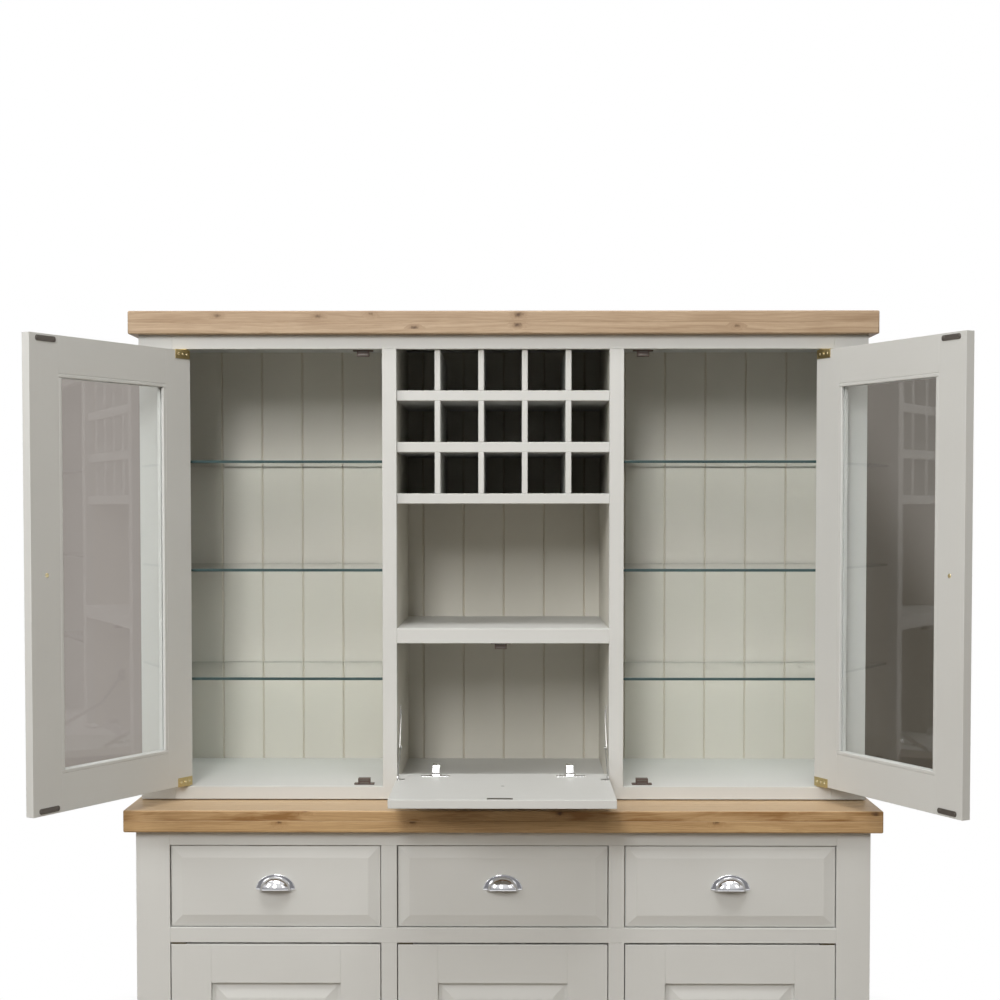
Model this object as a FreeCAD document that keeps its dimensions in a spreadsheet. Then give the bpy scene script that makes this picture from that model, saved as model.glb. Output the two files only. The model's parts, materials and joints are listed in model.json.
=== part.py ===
"""Two-part painted dresser: a drawer and cupboard base under a glazed hutch with a wine rack and a drop flap.

Frame: millimetres, X to the right, Y towards the wall, Z up. The origin lies on the floor under the
middle of the base. The glazed doors stand open and the flap lies down, all other doors and drawers are shut.
"""
import FreeCAD, Part
import os
import re
import Sketcher

SIZES = {
    # base: carcass, face frame and worktop
    "base_width": 1556,
    "base_depth": 497,
    "worktop_height": 900,
    "worktop_thickness": 47,
    "worktop_upper_layer": 22,
    "worktop_overhang": 22,
    "foot_height": 70,
    "base_bottom_rail": 55,
    "base_drawer_rail": 32,
    "base_top_rail": 31,
    "base_stile": 71.5,
    "base_muntin": 33.5,
    "drawer_opening": 176,
    "frame_thickness": 22,
    "side_thickness": 18,
    "back_thickness": 12,
    "floor_thickness": 18,
    "partition_thickness": 18,
    "guide_height": 40,
    "cupboard_shelf_thickness": 18,
    "cupboard_shelf_setback": 40,
    "cupboard_shelf_rise": 250,
    "shelf_play": 1,
    # hutch: carcass, face frame and oak top
    "hutch_side_overhang": 10,
    "hutch_depth": 400,
    "hutch_height": 1010,
    "hutch_stile": 73,
    "hutch_top_rail": 30,
    "hutch_bottom_rail": 30,
    "centre_bay": 461,
    "mullion_width": 31,
    "divider_thickness": 20,
    "oak_top_thickness": 50,
    "oak_top_upper_layer": 25,
    "oak_top_overhang": 19,
    "groove_pitch": 97,
    "groove_width": 5,
    "groove_depth": 3,
    # wine rack and shelves, heights above the worktop
    "wine_top_row": 119,
    "wine_row": 89.5,
    "wine_shelf_thickness": 22,
    "wine_upright": 12.5,
    "wine_setback": 10,
    "display_shelf_height": 375,
    "display_shelf_thickness": 32.5,
    "glass_shelf_low": 265,
    "glass_shelf_middle": 503.5,
    "glass_shelf_high": 740.5,
    "glass_shelf_thickness": 6,
    "glass_shelf_setback": 30,
    "glass_shelf_back_gap": 5,
    "shelf_pin_radius": 3,
    "shelf_pin_length": 9,
    "shelf_pin_inset": 55,
    "seat_play": 0.2,
    # magnetic catches and their strikes
    "catch_width": 44,
    "catch_body_width": 26.5,
    "catch_depth": 16,
    "catch_flange": 3,
    "catch_height": 14,
    "catch_play": 0.5,
    "catch_inset": 41,
    "catch_block_margin": 6,
    "strike_width": 52,
    "strike_height": 11,
    "strike_thickness": 1.2,
    "strike_margin": 4,
    # corner pivot hinges of all five doors
    "pivot_inset": 14.5,
    "pivot_setback": 5.5,
    "pivot_pin_radius": 2.5,
    "pivot_pin_length": 14,
    "pivot_bore_play": 0.6,
    "pivot_running": 0.05,
    "pivot_plate_thickness": 1.5,
    "pivot_plate_length": 30,
    "pivot_plate_width": 14,
    "pivot_plate_margin": 1,
    "pivot_play": 1,
    "leaf_length": 44,
    "leaf_height": 18,
    "leaf_margin": 2,
    # glazed doors
    "door_thickness": 20,
    "door_side_gap": 2,
    "door_stile": 83,
    "door_top_rail": 83,
    "door_bottom_rail": 84,
    "door_rebate": 8,
    "door_lip": 9,
    "pane_thickness": 4,
    "pane_play": 0.5,
    "left_door_angle": 121,
    "right_door_angle": 117.5,
    # knobs
    "knob_radius": 15,
    "knob_neck_radius": 6,
    "knob_rosette_radius": 10,
    "knob_rosette_height": 3,
    "knob_length": 28,
    "knob_head_height": 13,
    "knob_crown": 4,
    "door_knob_inset": 40,
    # drop flap
    "flap_thickness": 18,
    "flap_gap": 2.5,
    "flap_side_gap": 1.5,
    "flap_pivot_rise": 13,
    "flap_pivot_setback": 9,
    "flap_arris": 3,
    "flap_angle": 90,
    "flap_strike_offset": 5,
    # cup hinges of the flap
    "hinge_spread": 294,
    "hinge_arm_width": 16,
    "hinge_arm_drop": 4,
    "hinge_arm_crown": 12,
    "hinge_arm_length": 62,
    "hinge_mount_length": 36,
    "hinge_eye_radius": 4.5,
    "hinge_pin_radius": 2,
    "hinge_notch_width": 26,
    "hinge_notch_rise": 16,
    "hinge_skin": 3,
    "hinge_cheek": 1.7,
    "hinge_cheek_play": 0.3,
    "hinge_cheek_drop": 7,
    "hinge_flange_length": 62,
    "hinge_flange_start": 13.5,
    "hinge_flange_width": 16,
    "hinge_flange_thickness": 1.5,
    # folding stays of the flap, places measured from the flap's pivot
    "stay_wall_back": 86,
    "stay_wall_up": 136,
    "stay_elbow_back": 31,
    "stay_elbow_up": 63.5,
    "stay_lug_reach": 67,
    "stay_lug_clear": 0.5,
    "stay_plate_thickness": 2,
    "stay_plate_width": 18,
    "stay_plate_height": 30,
    "stay_arm_thickness": 1.8,
    "stay_arm_width": 9,
    "stay_pin_radius": 2,
    "stay_play": 0.3,
    "stay_rivet_radius": 3.5,
    "stay_rivet_height": 1.2,
    "stay_foot_width": 14,
    "stay_foot_thickness": 1.5,
    # drawers and their cup pulls
    "drawer_gap": 2,
    "drawer_front_thickness": 20,
    "drawer_bevel": 25,
    "drawer_bevel_depth": 5,
    "drawer_side": 12,
    "drawer_side_height": 140,
    "drawer_bottom_thickness": 6,
    "drawer_bottom_rise": 8,
    "drawer_back_clearance": 20,
    "drawer_side_play": 1,
    "drawer_run_play": 0.3,
    "pull_width": 83.5,
    "pull_height": 36,
    "pull_depth": 25,
    "pull_wall": 1.8,
    "pull_ear": 10,
    "pull_brow": 4,
    "pull_flange": 3,
    "pull_rise": 10.5,
    # cupboard doors
    "cupboard_stile": 85,
    "cupboard_rail": 83,
    "panel_thickness": 8,
    "panel_margin": 7,
    "panel_bevel": 26,
    "panel_bevel_depth": 6,
    "panel_setback": 2,
}

doc = FreeCAD.newDocument("dresser")
sheet = doc.addObject("Spreadsheet::Sheet", "sizes")
for row, (alias, value) in enumerate(SIZES.items(), start=1):
    sheet.set(f"A{row}", alias)
    sheet.set(f"B{row}", str(value))
    sheet.setAlias(f"B{row}", alias)
doc.recompute()

NODES = []


def bound(expression):
    """An expression in plain size names, with each name pointed at its cell."""
    return re.sub(r"[a-z]\w*", lambda m: f"sizes.{m[0]}" if m[0] in SIZES else m[0], expression)


def tie(piece, **expressions):
    """Binds a piece's properties to the sizes; a double underscore stands for a dot."""
    for name, expression in expressions.items():
        piece.setExpression(name.replace("__", "."), bound(expression))


def at(piece, x="0", y="0", z="0"):
    """Puts a piece's own origin at a place."""
    tie(piece, Placement__Base__x=x, Placement__Base__y=y, Placement__Base__z=z)
    return piece


def flip(span):
    """The mirror image of a span, across the middle of the dresser or of a door's pivot."""
    return (f"-({span[1]})", f"-({span[0]})")


def around(middle, size):
    """A span of a size about a middle."""
    return (f"({middle}) - ({size}) / 2", f"({middle}) + ({size}) / 2")


def board(name, x, y, z):
    """A plain board between two places on each axis."""
    piece = doc.addObject("Part::Box", name)
    tie(piece, Length=f"({x[1]}) - ({x[0]})", Width=f"({y[1]}) - ({y[0]})", Height=f"({z[1]}) - ({z[0]})")
    return at(piece, x[0], y[0], z[0])


def rod(name, axis, start, length, radius):
    """A round rod from a start, along X or Z."""
    piece = doc.addObject("Part::Cylinder", name)
    if axis == "x":
        piece.Placement.Rotation = FreeCAD.Rotation(FreeCAD.Vector(0, 1, 0), 90)
    tie(piece, Radius=radius, Height=length)
    return at(piece, *start)


def fuse(name, pieces):
    """Several shapes made one solid."""
    piece = doc.addObject("Part::MultiFuse", name)
    piece.Shapes = pieces
    piece.Refine = True
    return piece


def cut(name, piece, tools):
    """A solid with other shapes taken out of it."""
    tool = tools[0]
    if len(tools) > 1:
        tool = doc.addObject("Part::Compound", f"{name}_tools")
        tool.Links = tools
    result = doc.addObject("Part::Cut", name)
    result.Base = piece
    result.Tool = tool
    return result


def node(label, pieces, x="0", y="0", z="0", turn=None, angle=None):
    """One named sub-part: its separate solids, placed and turned together."""
    piece = doc.addObject("Part::Compound", f"node_{label}")
    piece.Label = label
    piece.Links = pieces
    if turn:
        piece.Placement = FreeCAD.Placement(FreeCAD.Vector(), FreeCAD.Rotation(FreeCAD.Vector(*turn), 1))
        tie(piece, Placement__Rotation__Angle=angle)
    NODES.append(at(piece, x, y, z))
    return piece


def outline(body, name, plane, points):
    """A closed straight-sided outline in a body, each corner tied to the sizes."""
    sketch = body.newObject("Sketcher::SketchObject", name)
    origin = [feature for feature in body.Origin.OriginFeatures if feature.Role == plane]
    sketch.AttachmentSupport = (origin[0], [""])
    sketch.MapMode = "FlatFace"
    count = len(points)
    for index in range(count):
        after = (index + 1) % count
        start = FreeCAD.Vector(index, index * index, 0)
        end = FreeCAD.Vector(after, after * after, 0)
        sketch.addGeometry(Part.LineSegment(start, end))
    for index in range(count):
        sketch.addConstraint(Sketcher.Constraint("Coincident", index, 2, (index + 1) % count, 1))
    for index, corner in enumerate(points):
        for direction, expression in zip(("DistanceX", "DistanceY"), corner):
            number = sketch.addConstraint(Sketcher.Constraint(direction, -1, 1, index, 1, 1.0))
            sketch.setExpression(f"Constraints[{number}]", bound(expression))
    return sketch


# Places that several pieces share
BACK = "(base_depth / 2)"
BACK_FACE = f"({BACK} - back_thickness)"
BASE_FRONT = "(-base_depth / 2)"
BASE_INSIDE = f"({BASE_FRONT} + frame_thickness)"
BASE_HALF = "(base_width / 2)"
BASE_OPENING = "((base_width - 2 * base_stile - 2 * base_muntin) / 3)"
BASE_PITCH = f"({BASE_OPENING} + base_muntin)"
WORKTOP_UNDER = "(worktop_height - worktop_thickness)"
DRAWER_TOP = f"({WORKTOP_UNDER} - base_top_rail)"
DRAWER_BOTTOM = f"({DRAWER_TOP} - drawer_opening)"
DECK_UNDER = f"({DRAWER_BOTTOM} - floor_thickness)"
CUPBOARD_TOP = f"({DRAWER_BOTTOM} - base_drawer_rail)"
CUPBOARD_BOTTOM = "(foot_height + base_bottom_rail)"
HUTCH_FRONT = f"({BACK} - hutch_depth)"
HUTCH_INSIDE = f"({HUTCH_FRONT} + frame_thickness)"
HUTCH_HALF = f"({BASE_HALF} + hutch_side_overhang)"
HUTCH_WALL = f"({HUTCH_HALF} - side_thickness)"
HUTCH_TOP = "(worktop_height + hutch_height)"
HUTCH_FLOOR = "(worktop_height + hutch_bottom_rail)"
BAY_TOP = f"({HUTCH_TOP} - hutch_top_rail)"
BAY_OUTER = f"({HUTCH_HALF} - hutch_stile)"
BAY_INNER = "(centre_bay / 2 + mullion_width)"
DIVIDER_OUTER = "(centre_bay / 2 + divider_thickness)"
SHELF_UNDER = "(worktop_height + display_shelf_height - display_shelf_thickness)"
DOOR_GAP = "(2 * pivot_plate_thickness + pivot_play)"


# Base carcass: two sides, floor, drawer deck, back and one partition, with a painted face frame in front
def build_base():
    inside = f"({BASE_HALF} - side_thickness)"
    stile_inner = f"({BASE_HALF} - base_stile)"
    deep = (BASE_INSIDE, BACK)
    between = (BASE_INSIDE, BACK_FACE)
    across = (f"-{inside}", inside)
    side = (inside, BASE_HALF)
    full = ("0", WORKTOP_UNDER)
    node("base_sides", [board("base_side_left", flip(side), deep, full),
                        board("base_side_right", side, deep, full)])

    face = (BASE_FRONT, BASE_INSIDE)
    stile = (stile_inner, BASE_HALF)
    rail = (f"-{stile_inner}", stile_inner)
    muntin = (f"{BASE_OPENING} / 2", f"{BASE_OPENING} / 2 + base_muntin")
    doors = (CUPBOARD_BOTTOM, CUPBOARD_TOP)
    drawers = (DRAWER_BOTTOM, DRAWER_TOP)
    node("base_face_frame", [
        board("base_stile_left", flip(stile), face, full),
        board("base_stile_right", stile, face, full),
        board("base_bottom_rail_board", rail, face, ("foot_height", CUPBOARD_BOTTOM)),
        board("base_drawer_rail_board", rail, face, (CUPBOARD_TOP, DRAWER_BOTTOM)),
        board("base_top_rail_board", rail, face, (DRAWER_TOP, WORKTOP_UNDER)),
        board("door_muntin_left", flip(muntin), face, doors),
        board("door_muntin_right", muntin, face, doors),
        board("drawer_muntin_left", flip(muntin), face, drawers),
        board("drawer_muntin_right", muntin, face, drawers),
    ])

    floor = (f"{CUPBOARD_BOTTOM} - floor_thickness", CUPBOARD_BOTTOM)
    node("base_floor", [board("base_floor_board", across, between, floor)])
    node("base_drawer_deck", [board("drawer_deck_board", across, between, (DECK_UNDER, DRAWER_BOTTOM))])
    node("base_back", [board("base_back_board", across, (BACK_FACE, BACK), (floor[0], WORKTOP_UNDER))])
    partition = around(f"{BASE_PITCH} / 2", "partition_thickness")
    node("base_partition", [board("partition_board", partition, between, (CUPBOARD_BOTTOM, DECK_UNDER))])

    guide = (DRAWER_BOTTOM, f"{DRAWER_BOTTOM} + guide_height")
    outer = (stile_inner, inside)
    node("drawer_guides", [
        board("drawer_guide_far_left", flip(outer), between, guide),
        board("drawer_guide_left", flip(muntin), between, guide),
        board("drawer_guide_right", muntin, between, guide),
        board("drawer_guide_far_right", outer, between, guide),
    ])

    top = f"({CUPBOARD_BOTTOM} + cupboard_shelf_rise)"
    level = (f"{top} - cupboard_shelf_thickness", top)
    reach = (f"{BASE_INSIDE} + cupboard_shelf_setback", f"{BACK_FACE} - shelf_play")
    bays = {
        "wide": (f"-{inside}", partition[0]),
        "narrow": (partition[1], inside),
    }
    shelves = []
    pins = []
    for name, bay in bays.items():
        span = (f"{bay[0]} + shelf_play", f"{bay[1]} - shelf_play")
        shelves.append(board(f"cupboard_shelf_{name}", span, reach, level))
        pins += shelf_pins(f"cupboard_{name}", bay, reach, level[0])
    node("base_shelves", shelves)
    return pins


# Worktop: two layers of oak boards glued face to face, overhanging the base on three sides
def build_worktop():
    half = f"({BASE_HALF} + worktop_overhang)"
    across = (f"-{half}", half)
    deep = (f"{BASE_FRONT} - worktop_overhang", BACK)
    line = "(worktop_height - worktop_upper_layer)"
    node("worktop", [board("worktop_upper_boards", across, deep, (line, "worktop_height")),
                     board("worktop_lower_boards", across, deep, (WORKTOP_UNDER, line))])


# Shelf pins: four round studs under a shelf, two in each wall of its bay
def shelf_pins(name, bay, reach, under):
    height = f"{under} - shelf_pin_radius - seat_play"
    pins = []
    for end, place in (("front", f"{reach[0]} + shelf_pin_inset"), ("back", f"{reach[1]} - shelf_pin_inset")):
        for wall, start in (("low", bay[0]), ("high", f"{bay[1]} - shelf_pin_length")):
            pins.append(rod(f"pin_{name}_{end}_{wall}", "x", (start, place, height),
                            "shelf_pin_length", "shelf_pin_radius"))
    return pins


# Hutch carcass: sides, floor, two dividers and an oak top of two glued layers, with a painted face frame
def build_hutch():
    deep = (HUTCH_INSIDE, BACK)
    between = (HUTCH_INSIDE, BACK_FACE)
    across = (f"-{HUTCH_WALL}", HUTCH_WALL)
    full = ("worktop_height", HUTCH_TOP)
    side = (HUTCH_WALL, HUTCH_HALF)
    node("hutch_sides", [board("hutch_side_left", flip(side), deep, full),
                         board("hutch_side_right", side, deep, full)])

    face = (HUTCH_FRONT, HUTCH_INSIDE)
    stile = (BAY_OUTER, HUTCH_HALF)
    rail = (f"-{BAY_OUTER}", BAY_OUTER)
    mullion = ("centre_bay / 2", BAY_INNER)
    bays = (HUTCH_FLOOR, BAY_TOP)
    head = (BAY_TOP, HUTCH_TOP)
    block = around(f"{BAY_INNER} + door_side_gap + catch_inset", "catch_width + 2 * catch_block_margin")
    behind = (HUTCH_INSIDE, f"{HUTCH_INSIDE} + catch_depth + catch_block_margin")
    node("hutch_face_frame", [
        board("hutch_stile_left", flip(stile), face, full),
        board("hutch_stile_right", stile, face, full),
        board("hutch_bottom_rail_board", rail, face, ("worktop_height", HUTCH_FLOOR)),
        board("hutch_top_rail_board", rail, face, head),
        board("mullion_left", flip(mullion), face, bays),
        board("mullion_right", mullion, face, bays),
        board("catch_block_left", flip(block), behind, head),
        board("catch_block_right", block, behind, head),
    ])

    floor = (f"{HUTCH_FLOOR} - floor_thickness", HUTCH_FLOOR)
    node("hutch_floor", [board("hutch_floor_board", across, between, floor)])
    divider = ("centre_bay / 2", DIVIDER_OUTER)
    tall = (HUTCH_FLOOR, HUTCH_TOP)
    node("hutch_dividers", [board("divider_left", flip(divider), between, tall),
                            board("divider_right", divider, between, tall)])

    half = f"({HUTCH_HALF} + oak_top_overhang)"
    span = (f"-{half}", half)
    reach = (f"{HUTCH_FRONT} - oak_top_overhang", BACK)
    crest = f"({HUTCH_TOP} + oak_top_thickness)"
    line = f"({crest} - oak_top_upper_layer)"
    node("hutch_top", [board("hutch_top_upper_boards", span, reach, (line, crest)),
                       board("hutch_top_lower_boards", span, reach, (HUTCH_TOP, line))])


# Hutch back: one boarded panel with a row of V grooves down its face, one groove in the middle
def build_hutch_back():
    body = doc.addObject("PartDesign::Body", "hutch_back_panel")
    width = f"(2 * {HUTCH_WALL})"
    panel = outline(body, "panel_outline", "XY_Plane", [
        ("0", "0"), (width, "0"), (width, "back_thickness"), ("0", "back_thickness")])
    pad = body.newObject("PartDesign::Pad", "panel_board")
    pad.Profile = panel
    tie(pad, Length="hutch_height")
    doc.recompute()
    side_grooves = f"floor(({HUTCH_WALL} - groove_width) / groove_pitch)"
    first = f"({HUTCH_WALL} - {side_grooves} * groove_pitch)"
    groove = outline(body, "groove_outline", "XY_Plane", [
        (f"{first} - groove_width / 2", "0"), (f"{first} + groove_width / 2", "0"), (first, "groove_depth")])
    pocket = body.newObject("PartDesign::Pocket", "groove_cut")
    pocket.Profile = groove
    pocket.Type = "ThroughAll"
    pocket.Reversed = True
    doc.recompute()
    row = body.newObject("PartDesign::LinearPattern", "groove_row")
    row.Originals = [pocket]
    row.Direction = (panel, ["H_Axis"])
    row.Mode = "Spacing"
    tie(row, Offset="groove_pitch", Occurrences=f"2 * {side_grooves} + 1")
    body.Tip = row
    doc.recompute()
    node("hutch_back", [body], f"-{HUTCH_WALL}", BACK_FACE, "worktop_height")


# Wine rack: three shelves and short uprights between them, five bottles to a row
def build_wine_rack():
    across = ("-centre_bay / 2", "centre_bay / 2")
    deep = (f"{HUTCH_FRONT} + wine_setback", BACK_FACE)
    cells = 5
    clear = f"((centre_bay - {cells - 1} * wine_upright) / {cells})"
    shelves = []
    uprights = []
    above = BAY_TOP
    top = f"({HUTCH_TOP} - wine_top_row)"
    for row in ("top", "middle", "bottom"):
        under = f"({top} - wine_shelf_thickness)"
        shelves.append(board(f"wine_shelf_{row}", across, deep, (under, top)))
        for column in range(1, cells):
            left = f"(-centre_bay / 2 + {column} * {clear} + {column - 1} * wine_upright)"
            uprights.append(board(f"wine_upright_{row}_{column}", (left, f"{left} + wine_upright"),
                                  deep, (top, above)))
        above = under
        top = f"({under} - wine_row)"
    node("wine_rack_shelves", shelves)
    node("wine_rack_uprights", uprights)


# Shelves of the hutch: a thick display shelf over the flap, and three glass shelves on pins in each side bay
def build_hutch_shelves(pins):
    height = "(worktop_height + display_shelf_height)"
    node("display_shelf", [board("display_shelf_board", ("-centre_bay / 2", "centre_bay / 2"),
                                 (HUTCH_FRONT, BACK_FACE), (SHELF_UNDER, height))])
    reach = (f"{HUTCH_FRONT} + glass_shelf_setback", f"{BACK_FACE} - glass_shelf_back_gap")
    bay = (DIVIDER_OUTER, HUTCH_WALL)
    shelves = []
    for side, walls in (("left", flip(bay)), ("right", bay)):
        for level in ("low", "middle", "high"):
            top = f"(worktop_height + glass_shelf_{level})"
            under = f"({top} - glass_shelf_thickness)"
            span = (f"{walls[0]} + shelf_play", f"{walls[1]} - shelf_play")
            shelves.append(board(f"glass_shelf_{side}_{level}", span, reach, (under, top)))
            pins += shelf_pins(f"glass_{side}_{level}", walls, reach, under)
    node("glass_shelves", shelves)
    node("shelf_pins", pins)


# Magnetic catches: a moulded case on a screw flange, behind each shut door and the shut flap
def build_catches():
    def catch(name, middle, front, seat, up):
        sign = "" if up else "-"
        flange = sorted((seat, f"{seat} + {sign}catch_flange"), key=lambda end: (end == seat) != up)
        case = sorted((seat, f"{seat} + {sign}catch_height"), key=lambda end: (end == seat) != up)
        deep = (front, f"{front} + catch_depth")
        return fuse(name, [board(f"{name}_flange", around(middle, "catch_width"), deep, flange),
                           board(f"{name}_case", around(middle, "catch_body_width"), deep, case)])

    hutch_middle = f"({BAY_INNER} + door_side_gap + catch_inset)"
    hutch_front = f"({HUTCH_FRONT} + door_thickness + strike_thickness + catch_play)"
    base_front = f"({BASE_FRONT} + door_thickness + strike_thickness + catch_play)"
    flap_front = f"({HUTCH_FRONT} + flap_thickness + strike_thickness + catch_play)"
    base_reach = f"({BASE_OPENING} / 2 - door_side_gap - catch_inset)"
    catches = []
    for side, sign in (("left", "-"), ("right", "")):
        middle = f"{sign}{hutch_middle}"
        catches.append(catch(f"catch_{side}_top", middle, hutch_front, BAY_TOP, False))
        catches.append(catch(f"catch_{side}_bottom", middle, hutch_front, HUTCH_FLOOR, True))
    catches.append(catch("catch_flap", "-flap_strike_offset", flap_front, SHELF_UNDER, False))
    for name, middle in (("left", f"-{BASE_PITCH} + {base_reach}"), ("middle", base_reach),
                         ("right", f"{BASE_PITCH} - {base_reach}")):
        catches.append(catch(f"catch_cupboard_{name}", middle, base_front, CUPBOARD_BOTTOM, True))
    node("magnetic_catches", catches)


# Corner pivots: a brass plate with a pin, screwed to the rail above and below each door
def pivot_pair(name, x, front, low, high):
    place = f"({front} + pivot_setback)"
    deep = (f"{front} + pivot_plate_margin", f"{front} + pivot_plate_margin + pivot_plate_width")
    across = around(x, "pivot_plate_length")
    upper = fuse(f"pivot_{name}_upper", [
        board(f"pivot_{name}_upper_plate", across, deep, (f"{high} - pivot_plate_thickness", high)),
        rod(f"pivot_{name}_upper_pin", "z", (x, place, f"{high} - pivot_pin_length"),
            "pivot_pin_length", "pivot_pin_radius")])
    lower = fuse(f"pivot_{name}_lower", [
        board(f"pivot_{name}_lower_plate", across, deep, (low, f"{low} + pivot_plate_thickness")),
        rod(f"pivot_{name}_lower_pin", "z", (x, place, low), "pivot_pin_length", "pivot_pin_radius")])
    return [upper, lower]


# Door leaves: brass angles over the door's top and bottom corners, each with a hole for a pivot's pin
def pivot_leaves(name, low, high, mirror):
    inner = "(door_thickness - pivot_setback)"
    start = "(leaf_margin - pivot_inset)"
    plate = mirror((start, f"{start} + leaf_length"))
    tab = mirror((start, f"{start} + pivot_plate_length"))
    over = ("pivot_plate_margin - pivot_setback", f"{inner} + pivot_plate_thickness")
    leaves = []
    for end, edge, sign in (("upper", high, ""), ("lower", low, "-")):
        if end == "upper":
            flat = (edge, f"{edge} + pivot_plate_thickness")
            upright = (f"{edge} - leaf_height", flat[1])
        else:
            flat = (f"{edge} - pivot_plate_thickness", edge)
            upright = (flat[0], f"{edge} + leaf_height")
        angle = fuse(f"{name}_{end}_angle", [
            board(f"{name}_{end}_plate", plate, (inner, over[1]), upright),
            board(f"{name}_{end}_tab", tab, over, flat)])
        hole = rod(f"{name}_{end}_hole", "z", ("0", "0", f"{flat[0]} - pivot_plate_thickness"),
                   "3 * pivot_plate_thickness", "pivot_pin_radius + pivot_running")
        leaves.append(cut(f"{name}_{end}_leaf", angle, [hole]))
    return leaves


# Door bores: blind holes for the pins in the top and bottom of a door's hinge stile
def pivot_bores(name, low, high):
    radius = "pivot_pin_radius + pivot_bore_play"
    starts = {"low": low, "high": f"{high} - pivot_pin_length"}
    return [rod(f"{name}_bore_{end}", "z", ("0", "0", start), "pivot_pin_length", radius)
            for end, start in starts.items()]


# Knob: a turned metal knob with a rosette, a waist and a crowned head, standing out along -Y
def knob(name, x, y, z):
    body = doc.addObject("PartDesign::Body", name)
    head = "(knob_length - knob_head_height)"
    profile = outline(body, f"{name}_profile", "YZ_Plane", [
        ("0", "0"), ("knob_rosette_radius", "0"), ("knob_rosette_radius", "knob_rosette_height"),
        ("knob_neck_radius", "2 * knob_rosette_height"), ("knob_neck_radius", head),
        ("knob_radius", f"{head} + knob_crown"), ("knob_radius", "knob_length - knob_crown"),
        ("knob_radius - knob_crown", "knob_length"), ("0", "knob_length")])
    turned = body.newObject("PartDesign::Revolution", f"{name}_turned")
    turned.Profile = profile
    turned.ReferenceAxis = (profile, ["V_Axis"])
    turned.Angle = 360
    body.Tip = turned
    body.Placement.Rotation = FreeCAD.Rotation(FreeCAD.Vector(1, 0, 0), 90)
    return at(body, x, y, z)


# Strike: a thin steel plate on a door's inner face, which the catch holds
def strike(name, middle, inner, z):
    return board(name, around(middle, "strike_width"), (inner, f"{inner} + strike_thickness"), z)


# Glazed doors: rebated frames with a pane held by beads, measured from the pivot and turned open about it
def build_glazed_door(side):
    mirror = flip if side == "right" else tuple
    sign = "" if side == "right" else "-"
    width = f"({BAY_OUTER} - {BAY_INNER} - 2 * door_side_gap)"
    low = f"({HUTCH_FLOOR} + {DOOR_GAP})"
    high = f"({BAY_TOP} - {DOOR_GAP})"
    front = "(-pivot_setback)"
    lip = f"({front} + door_lip)"
    back = f"({front} + door_thickness)"
    hinge = "(-pivot_inset)"
    free = f"({hinge} + {width})"
    pivot = f"{BAY_OUTER} - door_side_gap - pivot_inset"
    place = {"x": f"{sign}({pivot})", "y": f"{HUTCH_FRONT} + pivot_setback",
             "turn": (0, 0, 1), "angle": f"{sign}{side}_door_angle"}
    name = f"{side}_door"

    def member(part, face_x, face_z, rear_x, rear_z):
        return fuse(f"{name}_{part}", [
            board(f"{name}_{part}_face", mirror(face_x), (front, lip), face_z),
            board(f"{name}_{part}_rear", mirror(rear_x), (lip, back), rear_z)])

    tall = (low, high)
    stile_face = (hinge, f"{hinge} + door_stile")
    stile_rear = (hinge, f"{hinge} + door_stile - door_rebate")
    free_face = (f"{free} - door_stile", free)
    free_rear = (f"{free} - door_stile + door_rebate", free)
    rail_face = (stile_face[1], free_face[0])
    rail_rear = (stile_rear[1], free_rear[0])
    top_face = (f"{high} - door_top_rail", high)
    top_rear = (f"{high} - door_top_rail + door_rebate", high)
    bottom_face = (low, f"{low} + door_bottom_rail")
    bottom_rear = (low, f"{low} + door_bottom_rail - door_rebate")
    hinge_stile = cut(f"{name}_bored_stile", member("hinge_stile", stile_face, tall, stile_rear, tall),
                      pivot_bores(name, low, high))
    node(f"{name}_frame", [
        hinge_stile,
        member("free_stile", free_face, tall, free_rear, tall),
        member("top_rail", rail_face, top_face, rail_rear, top_rear),
        member("bottom_rail", rail_face, bottom_face, rail_rear, bottom_rear),
    ], **place)

    pane = (f"{rail_rear[0]} + pane_play", f"{rail_rear[1]} - pane_play")
    sheet_z = (f"{bottom_rear[1]} + pane_play", f"{top_rear[0]} - pane_play")
    bead_front = f"{lip} + pane_thickness"
    node(f"{name}_glass", [board(f"{name}_pane", mirror(pane), (lip, bead_front), sheet_z)], **place)

    bead = (bead_front, back)
    side_z = (bottom_face[1], top_face[0])
    node(f"{name}_beads", [
        board(f"{name}_bead_hinge", mirror((stile_rear[1], stile_face[1])), bead, side_z),
        board(f"{name}_bead_free", mirror((free_face[0], free_rear[0])), bead, side_z),
        board(f"{name}_bead_top", mirror(rail_rear), bead, (top_face[0], top_rear[0])),
        board(f"{name}_bead_bottom", mirror(rail_rear), bead, (bottom_rear[1], bottom_face[1])),
    ], **place)

    node(f"{name}_pivot_leaves", pivot_leaves(name, low, high, mirror), **place)
    facing = mirror((f"{free} - catch_inset", f"{free} - catch_inset"))[0]
    node(f"{name}_strikes", [
        strike(f"{name}_strike_top", facing, back, (f"{high} - strike_margin - strike_height",
                                                   f"{high} - strike_margin")),
        strike(f"{name}_strike_bottom", facing, back, (f"{low} + strike_margin",
                                                      f"{low} + strike_margin + strike_height")),
    ], **place)
    grip = mirror((f"{free} - door_knob_inset", f"{free} - door_knob_inset"))[0]
    node(f"{name}_knob", [knob(f"{name}_knob_body", grip, front, f"({low} + {high}) / 2")], **place)
    return pivot_pair(name, place["x"], HUTCH_FRONT, HUTCH_FLOOR, BAY_TOP)


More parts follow.
